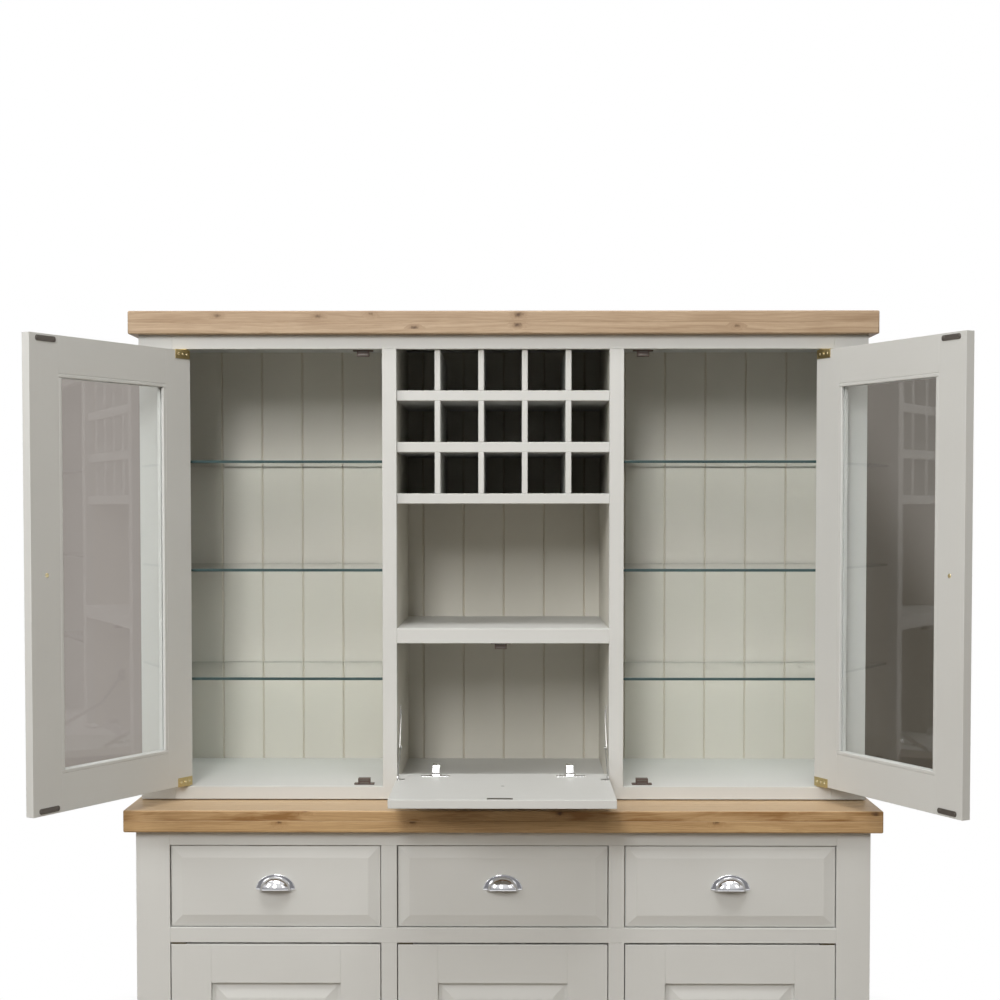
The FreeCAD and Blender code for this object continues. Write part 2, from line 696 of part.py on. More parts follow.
# Flap: a plain board measured from its pivot, shut upright and laid open about X, on two cup hinges
def build_flap():
    rise = f"({HUTCH_FLOOR} + flap_gap + flap_pivot_rise)"
    depth = f"({HUTCH_FRONT} + flap_pivot_setback)"
    place = {"y": depth, "z": rise, "turn": (1, 0, 0), "angle": "flap_angle"}
    half = "(centre_bay / 2 - flap_side_gap)"
    front = "(-flap_pivot_setback)"
    inner = f"({front} + flap_thickness)"
    low = "(-flap_pivot_rise)"
    length = f"({SHELF_UNDER} - {HUTCH_FLOOR} - 2 * flap_gap)"
    high = f"({low} + {length})"

    body = doc.addObject("PartDesign::Body", "flap_board")
    profile = outline(body, "flap_profile", "YZ_Plane", [
        ("flap_arris", "0"), ("flap_thickness", "0"), ("flap_thickness", length), ("0", length),
        ("0", "flap_arris")])
    pad = body.newObject("PartDesign::Pad", "flap_length")
    pad.Profile = profile
    tie(pad, Length=f"2 * {half}")
    body.Tip = pad
    at(body, f"-{half}", front, low)
    notches = []
    brackets = []
    arms = []
    for side, sign in (("left", "-"), ("right", "")):
        middle = f"({sign}hinge_spread / 2)"
        notches.append(board(f"hinge_notch_{side}", around(middle, "hinge_notch_width"),
                             (f"{front} + hinge_skin", f"{inner} + hinge_skin"),
                             (f"{low} - hinge_skin", "hinge_notch_rise")))
        brackets.append(flap_bracket(side, middle, front, inner))
        arms.append(hinge_arm(side, middle, depth, rise))
    node("flap_panel", [cut("flap_notched", body, notches)], **place)
    node("flap_knob", [knob("flap_knob_body", "0", front, f"({low} + {high}) / 2")], **place)
    lugs = [stay_lug("left", inner), stay_lug("right", inner)]
    plate = strike("flap_strike", "-flap_strike_offset", inner,
                   (f"{high} - strike_margin - strike_height", f"{high} - strike_margin"))
    node("flap_fittings", brackets + lugs + [plate], **place)
    plates = build_stays(depth, rise)
    node("flap_cabinet_fittings", arms + plates)


# Flap bracket: a flange screwed to the flap with two cheeks let into the notch and the hinge pin across them
def flap_bracket(side, middle, front, inner):
    flange = (inner, f"{inner} + hinge_flange_thickness")
    cheek_start = "(hinge_arm_width / 2 + hinge_cheek_play)"
    pieces = [board(f"bracket_{side}_flange", around(middle, "hinge_flange_length"), flange,
                    ("hinge_flange_start", "hinge_flange_start + hinge_flange_width"))]
    deep = (f"{front} + hinge_skin + hinge_cheek_play", inner)
    upright = ("-hinge_cheek_drop", "hinge_notch_rise")
    reach = f"({cheek_start} + hinge_cheek)"
    pieces.append(board(f"bracket_{side}_cheek_low", (f"{middle} - {reach}", f"{middle} - {cheek_start}"),
                        deep, upright))
    pieces.append(board(f"bracket_{side}_cheek_high", (f"{middle} + {cheek_start}", f"{middle} + {reach}"),
                        deep, upright))
    pieces.append(rod(f"bracket_{side}_pin", "x", (f"{middle} - {reach}", "0", "0"),
                      f"2 * {reach}", "hinge_pin_radius"))
    return fuse(f"bracket_{side}", pieces)


# Hinge arm: a bar with an eye round the flap's hinge pin, on a block screwed to the hutch floor
def hinge_arm(side, middle, depth, rise):
    across = around(middle, "hinge_arm_width")
    bar = board(f"arm_{side}_bar", across, (depth, f"{depth} + hinge_arm_length"),
                (f"{rise} - hinge_arm_drop", f"{rise} + hinge_arm_crown"))
    foot = board(f"arm_{side}_foot", across,
                 (f"{depth} + hinge_arm_length - hinge_mount_length", f"{depth} + hinge_arm_length"),
                 (HUTCH_FLOOR, f"{rise} - hinge_arm_drop"))
    eye = rod(f"arm_{side}_eye", "x", (across[0], depth, rise), "hinge_arm_width", "hinge_eye_radius")
    hole = rod(f"arm_{side}_hole", "x", (across[0], depth, rise), "hinge_arm_width",
               "hinge_pin_radius + pivot_running")
    return cut(f"arm_{side}", fuse(f"arm_{side}_solid", [bar, foot, eye]), [hole])


# Stay layers: from the divider's face inwards come the wall plate, the upper arm, the lower arm and the lug
STAY_UPPER = "(centre_bay / 2 - stay_plate_thickness - stay_play)"
STAY_LOWER = f"({STAY_UPPER} - stay_arm_thickness - stay_play)"
STAY_LUG = f"({STAY_LOWER} - stay_arm_thickness - stay_play)"
STAY_LUG_RISE = "(flap_thickness - flap_pivot_setback + stay_arm_width / 2 + stay_lug_clear)"


# Stay lug: a foot and an upright ear on the flap, with the pin that the lower arm turns on
def stay_lug(side, inner):
    mirror = flip if side == "left" else tuple
    ear = (f"{STAY_LUG} - stay_plate_thickness", STAY_LUG)
    foot = (f"{STAY_LUG} - stay_foot_width", STAY_LUG)
    along = around("stay_lug_reach", "stay_plate_width")
    start = mirror((STAY_LUG, f"{STAY_LOWER}"))
    return fuse(f"lug_{side}", [
        board(f"lug_{side}_foot", mirror(foot), (inner, f"{inner} + stay_foot_thickness"), along),
        board(f"lug_{side}_ear", mirror(ear), (inner, f"{STAY_LUG_RISE} + stay_arm_width / 2"),
              around("stay_lug_reach", "stay_arm_width")),
        rod(f"lug_{side}_pin", "x", (start[0], STAY_LUG_RISE, "stay_lug_reach"),
            "stay_play + stay_arm_thickness", "stay_pin_radius")])


# Stays: each side has an upper arm on the divider and a lower arm on the flap, which meet at the elbow
def build_stays(depth, rise):
    wall = (f"({depth} + stay_wall_back)", f"({rise} + stay_wall_up)")
    elbow = (f"({depth} + stay_elbow_back)", f"({rise} + stay_elbow_up)")
    lug = (f"({depth} - stay_lug_reach)", f"({rise} + {STAY_LUG_RISE})")
    plates = []
    for side in ("left", "right"):
        mirror = flip if side == "left" else tuple
        stay_arm(f"{side}_stay_upper_arm", mirror((f"{STAY_UPPER} - stay_arm_thickness", STAY_UPPER)),
                 wall, elbow, None)
        rivet = mirror((f"{STAY_LUG} + stay_play - stay_rivet_height", f"{STAY_LUG} + stay_play"))
        stay_arm(f"{side}_stay_lower_arm", mirror((f"{STAY_LOWER} - stay_arm_thickness", STAY_LOWER)),
                 lug, elbow, rivet)
        face = mirror((f"{STAY_UPPER} + stay_play", "centre_bay / 2"))
        stud = mirror((f"{STAY_UPPER} - stay_arm_thickness", "centre_bay / 2"))
        plates.append(fuse(f"stay_plate_{side}", [
            board(f"stay_plate_{side}_board", face, around(wall[0], "stay_plate_width"),
                  around(wall[1], "stay_plate_height")),
            rod(f"stay_plate_{side}_stud", "x", (stud[0], *wall),
                "stay_arm_thickness + stay_play + stay_plate_thickness", "stay_pin_radius")]))
    return plates


# Stay arm: a flat bar with round ends from a pivot to the elbow, bored at the pivot
def stay_arm(name, layer, pivot, elbow, rivet):
    run = f"({elbow[0]} - {pivot[0]})"
    climb = f"({elbow[1]} - {pivot[1]})"
    length = f"sqrt({run} * {run} + {climb} * {climb})"
    half = "stay_arm_width / 2"
    flat = board(f"{name}_flat", layer, ("0", length), (f"-{half}", half))
    ends = [rod(f"{name}_end_{number}", "x", (layer[0], place, "0"), "stay_arm_thickness", half)
            for number, place in enumerate(("0", length))]
    if rivet:
        ends.append(rod(f"{name}_rivet", "x", (rivet[0], length, "0"),
                        "stay_rivet_height", "stay_rivet_radius"))
    hole = rod(f"{name}_hole", "x", (layer[0], "0", "0"),
               "stay_arm_thickness", "stay_pin_radius + pivot_running")
    bar = cut(f"{name}_bar", fuse(f"{name}_solid", [flat] + ends), [hole])
    node(name, [bar], y=pivot[0], z=pivot[1], turn=(1, 0, 0), angle=f"atan2({climb}; {run})")


# Bevelled board: a field raised from a border that slopes back on all four sides, facing -Y
def bevelled(name, x, z, front, slope, back, border):
    wedge = doc.addObject("Part::Wedge", f"{name}_field")
    tie(wedge, Xmin=f"{x[0]} + {border}", Xmax=f"{x[1]} - {border}", X2min=x[0], X2max=x[1],
        Zmin=f"{z[0]} + {border}", Zmax=f"{z[1]} - {border}", Z2min=z[0], Z2max=z[1],
        Ymin=front, Ymax=f"{front} + {slope}")
    return [wedge, board(f"{name}_ground", x, (f"{front} + {slope}", back), z)]


# Drawers: a bevelled front on a box of two sides, a back and a bottom, running on the deck between guides
def build_drawer(name, middle):
    x = around(middle, f"{BASE_OPENING} - 2 * drawer_gap")
    z = (f"{DRAWER_BOTTOM} + drawer_gap", f"{DRAWER_TOP} - drawer_gap")
    back = f"({BASE_FRONT} + drawer_front_thickness)"
    node(f"{name}_drawer_front", [fuse(f"{name}_drawer_board", bevelled(
        f"{name}_drawer", x, z, BASE_FRONT, "drawer_bevel_depth", back, "drawer_bevel"))])

    outer = around(middle, f"{BASE_OPENING} - 2 * drawer_side_play")
    inner = (f"{outer[0]} + drawer_side", f"{outer[1]} - drawer_side")
    end = f"({BACK_FACE} - drawer_back_clearance)"
    foot = f"({DRAWER_BOTTOM} + drawer_run_play)"
    upright = (foot, f"{foot} + drawer_side_height")
    bottom = (f"{foot} + drawer_bottom_rise", f"{foot} + drawer_bottom_rise + drawer_bottom_thickness")
    node(f"{name}_drawer_box", [
        board(f"{name}_drawer_side_left", (outer[0], inner[0]), (back, end), upright),
        board(f"{name}_drawer_side_right", (inner[1], outer[1]), (back, end), upright),
        board(f"{name}_drawer_back", inner, (f"{end} - drawer_side", end), (bottom[1], upright[1])),
        board(f"{name}_drawer_bottom", inner, (back, end), bottom),
    ])
    height = f"({DRAWER_BOTTOM} + drawer_opening / 2 + pull_rise)"
    node(f"{name}_drawer_pull", [cup_pull(f"{name}_pull", middle, BASE_FRONT, height)])


# Cup pull: a half dome of metal on a flat flange against the drawer, open below for the fingers
def cup_pull(name, middle, face, height):
    low = f"({height} - pull_height / 2)"

    def dome(part, across, deep, tall):
        solid = doc.addObject("Part::Ellipsoid", f"{name}_{part}")
        tie(solid, Radius1=tall, Radius2=across, Radius3=deep)
        return at(solid, middle, face, low)

    shell = fuse(f"{name}_domes", [
        dome("shell", "pull_width / 2 - pull_ear", "pull_depth", "pull_height - pull_brow"),
        dome("flange", "pull_width / 2", "pull_flange", "pull_height")])
    hollow = dome("hollow", "pull_width / 2 - pull_ear - pull_wall", "pull_depth - pull_wall",
                  "pull_height - pull_brow - pull_wall")
    keep = board(f"{name}_keep", around(middle, "2 * pull_width"), (f"{face} - 2 * pull_depth", face),
                 (low, f"{low} + 2 * pull_height"))
    quarter = doc.addObject("Part::Common", f"{name}_quarter")
    quarter.Base = shell
    quarter.Tool = keep
    return cut(f"{name}_cup", quarter, [hollow])


# Cupboard doors: framed doors with a raised panel, measured from the pivot and shut at rest
def build_cupboard_door(name, middle, hinged):
    mirror = flip if hinged == "right" else tuple
    sign = "" if hinged == "right" else "-"
    width = f"({BASE_OPENING} - 2 * door_side_gap)"
    low = f"({CUPBOARD_BOTTOM} + {DOOR_GAP})"
    high = f"({CUPBOARD_TOP} - {DOOR_GAP})"
    front = "(-pivot_setback)"
    back = f"({front} + door_thickness)"
    hinge = "(-pivot_inset)"
    free = f"({hinge} + {width})"
    pivot = f"({middle}) {sign or '+'} ({BASE_OPENING} / 2 - door_side_gap - pivot_inset)"
    place = {"x": pivot, "y": f"{BASE_FRONT} + pivot_setback"}
    door = f"{name}_cupboard"
    deep = (front, back)
    tall = (low, high)
    field = (f"{hinge} + cupboard_stile", f"{free} - cupboard_stile")
    rise = (f"{low} + cupboard_rail", f"{high} - cupboard_rail")
    stile = cut(f"{door}_bored_stile", board(f"{door}_hinge_stile", mirror((hinge, field[0])), deep, tall),
                pivot_bores(door, low, high))
    slope = f"({front} + panel_setback + panel_bevel_depth)"
    raised = (f"{field[0]} + panel_margin", f"{field[1]} - panel_margin")
    raised_rise = (f"{rise[0]} + panel_margin", f"{rise[1]} - panel_margin")
    panel = fuse(f"{door}_panel", bevelled(
        f"{door}_raised", mirror(raised), raised_rise, f"({front} + panel_setback)", "panel_bevel_depth",
        f"{slope} + panel_thickness", "panel_bevel") + [
        board(f"{door}_panel_ground", mirror(field), (slope, f"{slope} + panel_thickness"), rise)])
    node(f"{door}_door", [
        stile,
        board(f"{door}_free_stile", mirror((field[1], free)), deep, tall),
        board(f"{door}_top_rail", mirror(field), deep, (rise[1], high)),
        board(f"{door}_bottom_rail", mirror(field), deep, (low, rise[0])),
        panel,
    ], **place)
    facing = mirror((f"{free} - catch_inset", f"{free} - catch_inset"))[0]
    plate = strike(f"{door}_strike", facing, back, (f"{low} + strike_margin",
                                                   f"{low} + strike_margin + strike_height"))
    node(f"{door}_fittings", pivot_leaves(door, low, high, mirror) + [plate], **place)
    grip = mirror((f"{free} - cupboard_stile / 2", f"{free} - cupboard_stile / 2"))[0]
    node(f"{door}_knob", [knob(f"{door}_knob_body", grip, front, f"({low} + {high}) / 2")], **place)
    return pivot_pair(door, pivot, BASE_FRONT, CUPBOARD_BOTTOM, CUPBOARD_TOP)


pins = build_base()
build_worktop()
build_hutch()
build_hutch_back()
build_wine_rack()
build_hutch_shelves(pins)
build_catches()
pivots = build_glazed_door("left") + build_glazed_door("right")
build_flap()
for bay, centre, hinge_side in (("left", f"-{BASE_PITCH}", "left"), ("middle", "0", "left"),
                                ("right", BASE_PITCH, "right")):
    build_drawer(bay, centre)
    pivots += build_cupboard_door(bay, centre, hinge_side)
node("pivot_plates", pivots)
doc.recompute()

failed = [item.Name for item in doc.Objects if {"Invalid", "Error"} & set(item.State)]
if failed:
    raise RuntimeError(f"objects that did not build: {failed}")
for piece in NODES:
    if piece.Shape.isNull() or not piece.Shape.isValid() or not piece.Shape.Solids:
        raise RuntimeError(f"{piece.Label} has no valid solid")
os.makedirs("parts", exist_ok=True)
for piece in NODES:
    piece.Shape.exportStep(f"parts/{piece.Label}.step")
print(f"{len(NODES)} sub-parts, {sum(len(piece.Shape.Solids) for piece in NODES)} solids")
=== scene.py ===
import json
from math import pi, radians

import bmesh
import bpy
from mathutils import Matrix, Vector

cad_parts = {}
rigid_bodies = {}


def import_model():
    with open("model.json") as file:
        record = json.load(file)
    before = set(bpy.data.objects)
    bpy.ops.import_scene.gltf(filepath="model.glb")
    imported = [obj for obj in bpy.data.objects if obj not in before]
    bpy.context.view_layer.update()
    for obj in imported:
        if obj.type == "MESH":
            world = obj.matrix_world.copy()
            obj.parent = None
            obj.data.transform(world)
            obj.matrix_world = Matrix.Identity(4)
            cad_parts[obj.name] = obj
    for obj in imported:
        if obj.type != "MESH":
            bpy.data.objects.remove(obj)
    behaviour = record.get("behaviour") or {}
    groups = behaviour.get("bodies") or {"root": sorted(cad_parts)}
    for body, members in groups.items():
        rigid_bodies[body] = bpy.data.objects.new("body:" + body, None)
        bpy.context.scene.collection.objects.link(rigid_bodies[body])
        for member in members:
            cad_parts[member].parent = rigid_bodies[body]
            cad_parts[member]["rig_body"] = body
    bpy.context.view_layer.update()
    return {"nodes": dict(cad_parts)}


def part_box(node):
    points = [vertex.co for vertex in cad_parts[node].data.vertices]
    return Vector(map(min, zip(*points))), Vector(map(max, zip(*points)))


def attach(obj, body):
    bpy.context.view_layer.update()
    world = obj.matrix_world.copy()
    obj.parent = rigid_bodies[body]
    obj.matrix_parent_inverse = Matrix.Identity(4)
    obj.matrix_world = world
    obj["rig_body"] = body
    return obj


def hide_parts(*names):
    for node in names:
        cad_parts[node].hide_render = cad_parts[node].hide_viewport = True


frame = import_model()

# Base carcass: sides, floor, drawer deck, back, partition, guides and loose shelves.
# They are painted boards, glued and screwed face to face, with their arrises rubbed round before painting.
PAINT = (0.633, 0.636, 0.616, 1)
PAINT_THIN = (0.598, 0.599, 0.576, 1)
BOARD_ARRIS = 0.0011
BRUSH_STREAKS = (7, 380, 1)
ROLLER_STIPPLE = 900
SATIN = (0.40, 0.52)
SHARP = radians(25)
GRAIN_STEP = (1.7, 0.61)
EDGE_GRAIN_SHIFT = 0.31


def wire(tree, kind, sockets, **settings):
    """Adds a shader node and gives each named socket a value or another node's output."""
    made = tree.nodes.new(f"ShaderNode{kind}")
    for name, value in settings.items():
        setattr(made, name, value)
    for name, value in sockets.items():
        if isinstance(value, bpy.types.NodeSocket):
            tree.links.new(value, made.inputs[name])
        else:
            made.inputs[name].default_value = value
    return made


def new_finish(name):
    """A fresh material with its node tree and its surface shader."""
    finish = bpy.data.materials.new(name)
    finish.use_nodes = True
    return finish, finish.node_tree, finish.node_tree.nodes["Principled BSDF"]


def satin_paint(name, full, thin_coat):
    """Brushed satin paint: faint streaks along each board, a slow change of shade and a little roller stipple."""
    finish, tree, surface = new_finish(name)
    surface.inputs["Specular IOR Level"].default_value = 0.35
    along = wire(tree, "UVMap", {}, uv_map="grain").outputs[0]
    place = wire(tree, "TexCoord", {}).outputs["Object"]
    stretched = wire(tree, "Mapping", {"Vector": along, "Scale": BRUSH_STREAKS}).outputs[0]
    streaks = wire(tree, "TexNoise", {"Vector": stretched, "Scale": 1, "Detail": 3}).outputs["Fac"]
    stipple = wire(tree, "TexNoise", {"Vector": place, "Scale": ROLLER_STIPPLE, "Detail": 2}).outputs["Fac"]
    shade = wire(tree, "TexNoise", {"Vector": place, "Scale": 5, "Detail": 4}).outputs["Fac"]
    thin = wire(tree, "MapRange", {"Value": shade, "From Min": 0.35, "From Max": 0.75, "To Max": 0.5}).outputs[0]
    streaked = wire(tree, "Math", {0: streaks, 1: 0.35, 2: thin}, operation="MULTIPLY_ADD").outputs[0]
    colour = wire(tree, "Mix", {0: streaked, 6: full, 7: thin_coat}, data_type="RGBA").outputs[2]
    gloss = wire(tree, "MapRange", {"Value": streaks, "To Min": SATIN[0], "To Max": SATIN[1]}).outputs[0]
    height = wire(tree, "Math", {0: stipple, 1: 0.5, 2: streaks}, operation="MULTIPLY_ADD").outputs[0]
    relief = wire(tree, "Bump", {"Height": height, "Strength": 0.16, "Distance": 0.0003}).outputs[0]
    tree.links.new(colour, surface.inputs["Base Color"])
    tree.links.new(gloss, surface.inputs["Roughness"])
    tree.links.new(relief, surface.inputs["Normal"])
    return finish


def closed_solids(node):
    """A node's solids as (corners, triangles): they come one after another, and one ends where its skin closes."""
    mesh = frame["nodes"][node].data
    solids, corners, triangles, rims = [], {}, [], set()
    for polygon in mesh.polygons:
        places = [tuple(round(value, 6) for value in mesh.vertices[index].co) for index in polygon.vertices]
        triangle = [corners.setdefault(place, len(corners)) for place in places]
        triangles.append(triangle)
        rims ^= {frozenset(edge) for edge in zip(triangle, triangle[1:] + triangle[:1])}
        if not rims:
            solids.append(([Vector(corner) for corner in corners], triangles))
            corners, triangles = {}, []
    return solids


def reach(corners, axis):
    """The least and greatest distance of some corners along an axis."""
    heights = [Vector(corner).dot(axis) for corner in corners]
    return min(heights), max(heights)


def board_axes(corners, triangles):
    """A board's three directions, the longest first, taken from its two largest faces."""
    sides = []
    for first, second, third in triangles:
        span = (corners[second] - corners[first]).cross(corners[third] - corners[first])
        sides.append((span.length, span.normalized()))
    sides.sort(key=lambda side: -side[0])
    face = sides[0][1]
    edge = next(normal for _, normal in sides if abs(normal.dot(face)) < 0.05)

    def length(axis):
        low, high = reach(corners, axis)
        return high - low
    return sorted((face, edge, face.cross(edge)), key=length, reverse=True)


def select_arrises(mesh, chosen):
    """Selects, in edit mode, the sharp edges that a test picks."""
    bpy.ops.mesh.select_mode(type="EDGE")
    bpy.ops.mesh.select_all(action="DESELECT")
    shape = bmesh.from_edit_mesh(mesh)
    for edge in shape.edges:
        edge.select_set(edge.is_manifold and edge.calc_face_angle() > SHARP and chosen(edge))
    shape.select_flush_mode()
    bmesh.update_edit_mesh(mesh)


def eased_copy(node, arris, glue_line=None, rounder=None):
    """Copies a node solid by solid, rounds the long arrises and lays a grain map along each solid's length.

    Edges on a glue line between two layers keep a hairline arris.
    Rounder is a larger radius and a test for the edges that get it.
    """
    solids = closed_solids(node)
    places, faces, owners = [], [], []
    for number, (corners, triangles) in enumerate(solids):
        faces += [[len(places) + corner for corner in triangle] for triangle in triangles]
        owners += [number] * len(triangles)
        places += corners
    mesh = bpy.data.meshes.new(f"{node}_eased")
    mesh.from_pydata(places, [], faces)
    mesh.attributes.new("solid", "INT", "FACE").data.foreach_set("value", owners)
    piece = bpy.data.objects.new(f"{node}_eased", mesh)
    bpy.context.collection.objects.link(piece)
    bpy.ops.object.select_all(action="DESELECT")
    piece.select_set(True)
    bpy.context.view_layer.objects.active = piece
    bpy.ops.object.mode_set(mode="EDIT")
    bpy.ops.mesh.select_all(action="SELECT")
    bpy.ops.mesh.dissolve_limited(angle_limit=radians(1))
    for edge in bmesh.from_edit_mesh(mesh).edges:
        edge.smooth = not edge.is_manifold or edge.calc_face_angle() < radians(1.5)

    if rounder:
        radius, chosen = rounder
        select_arrises(mesh, chosen)
        bpy.ops.mesh.bevel(offset=radius, segments=6, affect="EDGES", clamp_overlap=False)

    def glued(edge):
        return glue_line is not None and all(abs(end.co.z - glue_line) < 1e-5 for end in edge.verts)
    select_arrises(mesh, lambda edge: edge.calc_length() > 3 * arris and not glued(edge))
    bpy.ops.mesh.bevel(offset=arris, segments=2, affect="EDGES", clamp_overlap=False)
    if glue_line is not None:
        select_arrises(mesh, glued)
        bpy.ops.mesh.bevel(offset=arris / 5, segments=1, affect="EDGES", clamp_overlap=False)
    bpy.ops.object.mode_set(mode="OBJECT")
    bpy.ops.object.shade_smooth()
    rounding = piece.modifiers.new("rounding", "WEIGHTED_NORMAL")
    rounding.keep_sharp = True
    bpy.ops.object.modifier_apply(modifier=rounding.name)

    axes = [board_axes(*solid) for solid in solids]
    owners = mesh.attributes["solid"].data
    grain = mesh.uv_layers.new(name="grain").data
    for polygon in mesh.polygons:
        number = owners[polygon.index].value
        length, width, depth = axes[number]
        facing = max((length, width, depth), key=lambda axis: abs(axis.dot(polygon.normal)))
        across = depth if facing is width else width
        run = depth if facing is length else length
        shift = GRAIN_STEP[1] * number + (0.0 if facing is depth else EDGE_GRAIN_SHIFT)
        for loop in polygon.loop_indices:
            place = mesh.vertices[mesh.loops[loop].vertex_index].co
            grain[loop].uv = (place.dot(run) + GRAIN_STEP[0] * number, place.dot(across) + shift)
    return piece


def stand_in(piece, node, finish):
    """Gives a piece its finish and lets it stand for a node, on that node's body."""
    piece.data.materials.clear()
    piece.data.materials.append(finish)
    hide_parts(node)
    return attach(piece, frame["nodes"][node]["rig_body"])


painted = satin_paint("satin_paint", PAINT, PAINT_THIN)
for carcass in ("base_sides", "base_floor", "base_drawer_deck", "base_back", "base_partition", "drawer_guides",
                "base_shelves"):
    stand_in(eased_copy(carcass, BOARD_ARRIS), carcass, painted)

# Base face frame: stiles, rails and muntins of painted hardwood, jointed flush at the front.
# A hairline shows at each joint, where the paint follows the two arrises.
FRAME_ARRIS = 0.0007
stand_in(eased_copy("base_face_frame", FRAME_ARRIS), "base_face_frame", painted)

# Worktop: two layers of knotty oak boards, glued face to face, oiled, with a rounded outer edge.
# On the front the layers show as two bands, the upper one with a stronger figure.
OAK_ARRIS = 0.0030
STAVE = 0.105
KNOT_GRID = (5.2, 38, 1)
KNOT_OVAL = (0.55, 1, 0)
KNOT_RADIUS = 0.0075
KNOT_HALO = 0.018
# Paler colour that the top faces are mixed towards: a painted sheen.
PAINTED_SHEEN_OAK = (0.610, 0.490, 0.360, 1)
OILED = (0.36, 0.48)


def oiled_oak(name, pale, dark, knot):
    """Knotty oak on the grain map: staves, growth rings that swell round the knots, brown clouds and pores, and a
    painted paler sheen where the faces carry a negative value.
    """
    finish, tree, surface = new_finish(name)
    surface.inputs["Specular IOR Level"].default_value = 0.28
    grain = wire(tree, "UVMap", {}, uv_map="grain").outputs[0]
    across = wire(tree, "SeparateXYZ", {0: grain}).outputs["Y"]
    stave = wire(tree, "Math", {0: across, 1: STAVE}, operation="DIVIDE").outputs[0]
    stave = wire(tree, "Math", {0: stave}, operation="FLOOR").outputs[0]
    chance = wire(tree, "TexWhiteNoise", {"W": stave}, noise_dimensions="1D")
    shifted = wire(tree, "VectorMath", {0: grain, 1: chance.outputs["Color"]}, operation="ADD").outputs[0]

    spread = wire(tree, "VectorMath", {0: grain, 1: KNOT_GRID}, operation="MULTIPLY").outputs[0]
    cell = wire(tree, "TexVoronoi", {"Vector": spread, "Scale": 1}, voronoi_dimensions="2D")
    away = wire(tree, "VectorMath", {0: spread, 1: cell.outputs["Position"]}, operation="SUBTRACT").outputs[0]
    away = wire(tree, "VectorMath", {0: away, 1: KNOT_GRID}, operation="DIVIDE").outputs[0]
    oval = wire(tree, "VectorMath", {0: away, 1: KNOT_OVAL}, operation="MULTIPLY").outputs[0]
    ragged = wire(tree, "TexNoise", {"Vector": grain, "Scale": 170, "Detail": 4}).outputs["Fac"]
    distance = wire(tree, "VectorMath", {0: oval}, operation="LENGTH").outputs["Value"]
    distance = wire(tree, "Math", {0: ragged, 1: 0.008, 2: distance}, operation="MULTIPLY_ADD").outputs[0]
    stain_and_sheen = wire(tree, "Attribute", {}, attribute_name="stain_and_sheen").outputs["Fac"]
    sheen_mark = wire(tree, "Math", {0: stain_and_sheen, 1: 0.0}, operation="MINIMUM").outputs[0]
    vigour = wire(tree, "Math", {0: sheen_mark, 1: 2.2, 2: cell.outputs["Color"]}, operation="MULTIPLY_ADD").outputs[0]
    grown = wire(tree, "MapRange", {"Value": vigour, "From Min": 0.32, "From Max": 0.68}).outputs[0]
    size = wire(tree, "Math", {0: grown, 1: KNOT_RADIUS}, operation="MULTIPLY").outputs[0]
    core = wire(tree, "Math", {0: size, 1: distance}, operation="SUBTRACT").outputs[0]
    core = wire(tree, "MapRange", {"Value": core, "From Min": -0.0036, "From Max": 0.0036},
                interpolation_type="SMOOTHSTEP").outputs[0]
    swell = wire(tree, "MapRange", {"Value": distance, "From Min": 0.002, "From Max": KNOT_HALO,
                                    "To Min": 1, "To Max": 0}, interpolation_type="SMOOTHSTEP").outputs[0]
    swell = wire(tree, "Math", {0: swell, 1: grown}, operation="MULTIPLY").outputs[0]

    drift = wire(tree, "Mapping", {"Vector": shifted, "Scale": (1.5, 4, 1)}).outputs[0]
    drift = wire(tree, "TexNoise", {"Vector": drift, "Scale": 1, "Detail": 3, "Roughness": 0.5}).outputs["Fac"]
    depth = wire(tree, "Math", {0: drift, 1: 1.1}, operation="MULTIPLY").outputs[0]
    depth = wire(tree, "Math", {0: swell, 1: 0.48, 2: depth}, operation="MULTIPLY_ADD").outputs[0]
    depth = wire(tree, "Math", {0: across, 1: 12.0, 2: depth}, operation="MULTIPLY_ADD").outputs[0]
    rings_at = wire(tree, "CombineXYZ", {"X": depth}).outputs[0]
    rings = wire(tree, "TexNoise", {"Vector": rings_at, "Scale": 12, "Detail": 3, "Roughness": 0.6}).outputs["Fac"]
    cloud_at = wire(tree, "Mapping", {"Vector": shifted, "Scale": (6, 34, 1)}).outputs[0]
    clouds = wire(tree, "TexNoise", {"Vector": cloud_at, "Scale": 1, "Detail": 4, "Distortion": 0.6}).outputs["Fac"]
    clouds = wire(tree, "MapRange", {"Value": clouds, "From Min": 0.42, "From Max": 0.70}).outputs[0]
    fibre_at = wire(tree, "Mapping", {"Vector": shifted, "Scale": (14, 900, 1)}).outputs[0]
    fibres = wire(tree, "TexNoise", {"Vector": fibre_at, "Scale": 1, "Detail": 3}).outputs["Fac"]
    pores_at = wire(tree, "Mapping", {"Vector": shifted, "Scale": (45, 1500, 1)}).outputs[0]
    pores = wire(tree, "TexNoise", {"Vector": pores_at, "Scale": 1, "Detail": 1}).outputs["Fac"]
    pores = wire(tree, "MapRange", {"Value": pores, "From Min": 0.60, "From Max": 0.74}).outputs[0]

